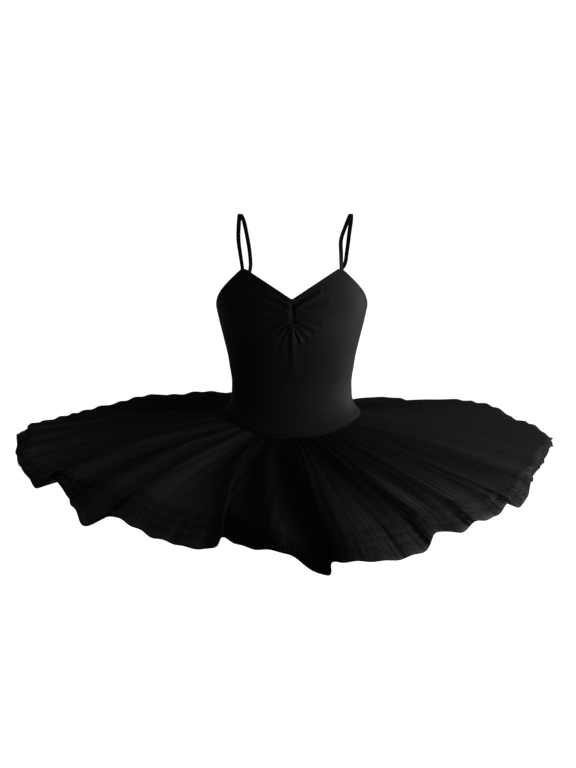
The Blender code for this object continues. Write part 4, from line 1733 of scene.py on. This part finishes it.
    def layer(self, layer: int) -> bpy.types.Object:
        """Makes one layer.

        Args:
            layer: The layer, 0 for the top one.

        Returns:
            The new piece, marked with its painted light and shade, how streaked it is and how far its edge
            fades.
        """
        root_deg, rim_deg, height, reach = self.columns()
        share = eased(0, 1, self.rings, self.ring_ease)[:, None]
        root, rim = np.radians(root_deg)[None, :], np.radians(rim_deg)[None, :]
        wrapped = (rim_deg + 180) % 360 - 180
        root_radius, root_z = self.seat(root, self.root_drop + self.root_step * layer)
        outer = self.outline(layer, np.radians(rim_deg), wrapped, reach)[None, :]
        radius = root_radius + (outer - root_radius) * share
        tight = 1 - self.front_closeness * np.sqrt(np.clip(np.cos(rim), 0, 1))
        last = len(self.edges) - 1
        rim_z = RIM.read(wrapped)[None, :] - self.rim_step * (last - (last - layer) * tight)
        full = (radius - root_radius) / (self.mean_reach - root_radius)
        bearing = rim + (root - rim) * np.maximum(1 - full, 0) ** self.turn_power
        z = root_z + (rim_z - root_z) * (self.straightness * full + (1 - self.straightness) * full ** 2)
        z = z + height[None, :] * self.swell(full, LATE.read(wrapped)[None, :])
        z = z + self.root_gathering(layer, root, radius - root_radius)
        z = z + self.fine_pleats(layer, bearing, share) * PLEATING.read(wrapped)[None, :]
        loose = np.clip((share - (1 - self.flutter_share)) / self.flutter_share, 0, 1) ** 2
        z = z + self.flutter * loose * np.sin(self.flutters * bearing + 0.3 * layer)
        grid = np.stack([radius * np.sin(bearing), -radius * np.cos(bearing), z], axis=-1)
        closing = np.radians(np.append(rim_deg, rim_deg[0] + 360.0))[None, :] * self.mean_reach
        across = np.broadcast_to(closing, (len(share), closing.shape[1]))
        cut = np.stack([across, np.hstack([radius, radius[:, :1]])], axis=-1)
        made = Mesher.cloth(f"tulle_layer_{layer + 1}_net", grid, cut, NET_WALL, closed=True)
        # Painted light and shade: the net's tone by bearing, from the seam's table towards the rim's.
        at_root, at_rim = (table.read(wrapped)[None, :] for table in (ROOT_PAINTED_SHADING, RIM_PAINTED_SHADING))
        self.mark(made, "painted_shading", at_root + (at_rim - at_root) * np.clip(full, 0, 1) ** self.painted_shading_power)
        self.mark(made, "streaked", STREAKING.read(wrapped)[None, :] * (0.5 + 0.5 * full))
        in_front = np.clip((np.cos(rim) - self.fade_start) / self.fade_span, 0, 1)
        near_edge = np.clip(1 - (outer - radius) / self.fade, 0, 1)
        self.mark(made, "fade", near_edge * self.edges[layer].fades * in_front)
        return made

    def build(self) -> None:
        """Builds and dresses every layer."""
        for layer in range(len(self.edges)):
            piece = self.layer(layer)
            nodes = [f"tulle_layer_{layer + 1}_{panel}" for panel in self.panels]
            self.dresser.dress(piece, self.dresser.wardrobe.net, Slot.TULLE, nodes)
            self.made.append(piece)


@dataclass
class Cutter:
    """Collects the bindings and stitches that are sewn on the bodice; nothing more is done with them."""

    bodice: Bodice
    brief: Brief
    trim: Trim
    straps: Straps
    skirt: Skirt

    def sewn(self, *names: str) -> list[bpy.types.Object]:
        """Bindings, each with its row of stitches."""
        return [self.trim.made[name + part] for name in names for part in ("", "_stitches")]

    def declare(self) -> None:
        """Lists the front neck and armhole bindings with their stitches, and the hip seam's stitches; the
        list is not used further.
        """
        on_front = self.sewn("neck_binding_front", "armhole_binding_left", "armhole_binding_right")
        on_front.append(self.trim.made["hip_seam_stitches"])


@dataclass
class Studio:
    """Pale floor, soft light and the camera."""

    floor_height: float = -1.2
    floor_size: float = 240.0
    aim: tuple[float, float, float] = (-0.0065, 0.0, -0.298)
    distance: float = 3.0
    elevation: float = 13.5
    focal_pixels: float = 1714.3
    frame_height: float = 768.0
    sensor: float = 36.0
    clip: float = 500.0
    faint_light: float = 0.03

    def floor(self) -> None:
        """Adds the floor."""
        bpy.ops.object.select_all(action="DESELECT")
        bpy.ops.mesh.primitive_plane_add(size=self.floor_size, location=(0, 0, self.floor_height))
        floor = bpy.context.object
        floor.name = "studio_floor"
        floor.data.materials.append(FloorFinish().material())

    def lamp(self, name: str, kind: str, power: float, turn: tuple[float, float, float]) -> bpy.types.Object:
        """Adds a light.

        Args:
            name: The light's name.
            kind: Its type.
            power: Its energy.
            turn: Its rotation.

        Returns:
            The new light.
        """
        data = bpy.data.lights.new(name, kind)
        data.energy = power
        lamp = bpy.data.objects.new(name, data)
        bpy.context.collection.objects.link(lamp)
        lamp.rotation_euler = turn
        return lamp

    def area(self, name: str, place: tuple[float, float, float], size: float, watts: float) -> None:
        """Adds a square soft light that faces the garment.

        Args:
            name: The light's name.
            place: Where it stands, in metres.
            size: Its side.
            watts: Its power.
        """
        way = np.array(self.aim) - np.array(place)
        tilt = math.atan2(math.hypot(way[0], way[1]), -way[2])
        lamp = self.lamp(name, "AREA", watts, (tilt, 0, math.atan2(way[1], way[0]) - math.pi / 2))
        lamp.location = place
        lamp.data.size = size

    def sun(self, name: str, azimuth: float, elevation: float, strength: float, softness: float) -> None:
        """Adds a broad distant light.

        Args:
            name: The light's name.
            azimuth: Degrees to the right of the front that it comes from.
            elevation: Degrees above the floor.
            strength: Its strength.
            softness: Its breadth in the sky, in degrees.
        """
        turn = (math.radians(90 - elevation), 0, math.radians(azimuth))
        self.lamp(name, "SUN", strength, turn).data.angle = math.radians(softness)

    def surroundings(self) -> None:
        """Sets a pale backdrop that lights the garment only faintly."""
        world = bpy.data.worlds.new("studio")
        bpy.context.scene.world = world
        world.use_nodes = True
        wiring = Wiring(world.node_tree)
        seen = world.node_tree.nodes["Background"]
        seen.inputs["Color"].default_value = (1.0, 1.0, 1.0, 1.0)
        seen.inputs["Strength"].default_value = 1.0
        faint = wiring.add("ShaderNodeBackground")
        faint.inputs["Strength"].default_value = self.faint_light
        chosen = wiring.add("ShaderNodeMixShader")
        wiring.feed(chosen.inputs[0], wiring.add("ShaderNodeLightPath").outputs["Is Camera Ray"])
        wiring.feed(chosen.inputs[1], faint.outputs[0])
        wiring.feed(chosen.inputs[2], seen.outputs[0])
        wiring.feed(world.node_tree.nodes["World Output"].inputs["Surface"], chosen.outputs[0])

    def camera(self) -> None:
        """Adds the camera at the photograph's angle."""
        data = bpy.data.cameras.new("camera")
        data.sensor_fit = "VERTICAL"
        data.sensor_height = self.sensor
        data.lens = self.focal_pixels / self.frame_height * self.sensor
        data.clip_end = self.clip
        camera = bpy.data.objects.new("camera", data)
        bpy.context.collection.objects.link(camera)
        tilt = math.radians(self.elevation)
        camera.location = (self.aim[0], self.aim[1] - self.distance * math.cos(tilt),
                           self.aim[2] + self.distance * math.sin(tilt))
        camera.rotation_euler = (math.pi / 2 - tilt, 0, 0)
        bpy.context.scene.camera = camera

    def build(self) -> None:
        """Builds the whole studio."""
        bpy.context.scene.view_settings.view_transform = "Standard"
        self.floor()
        self.surroundings()
        self.sun("front_right_light", azimuth=42.0, elevation=42.0, strength=0.37, softness=30.0)
        self.sun("front_left_light", azimuth=-30.0, elevation=47.0, strength=0.28, softness=30.0)
        self.area("right_light", (1.5, 0.5, -0.33), size=0.9, watts=21.0)
        self.area("near_right_light", (0.75, -0.5, -0.34), size=0.35, watts=4.9)
        self.camera()


def main() -> None:
    """Builds the garment and the studio, and reports each piece."""
    logging.basicConfig(level=logging.INFO, format="%(message)s")
    bpy.ops.object.select_all(action="DESELECT")
    dresser = Dresser(Wardrobe())
    bodice, brief = Bodice(dresser), Brief(dresser)
    trim, straps, skirt = Trim(dresser), Straps(dresser), Skirt(dresser)
    for part in (bodice, brief, trim, straps, skirt):
        part.build()
    Cutter(bodice, brief, trim, straps, skirt).declare()
    Studio().build()
    for piece in dresser.pieces:
        LOG.info("%s: %d faces", piece.name, len(piece.data.polygons))


if __name__ == "__main__":
    main()
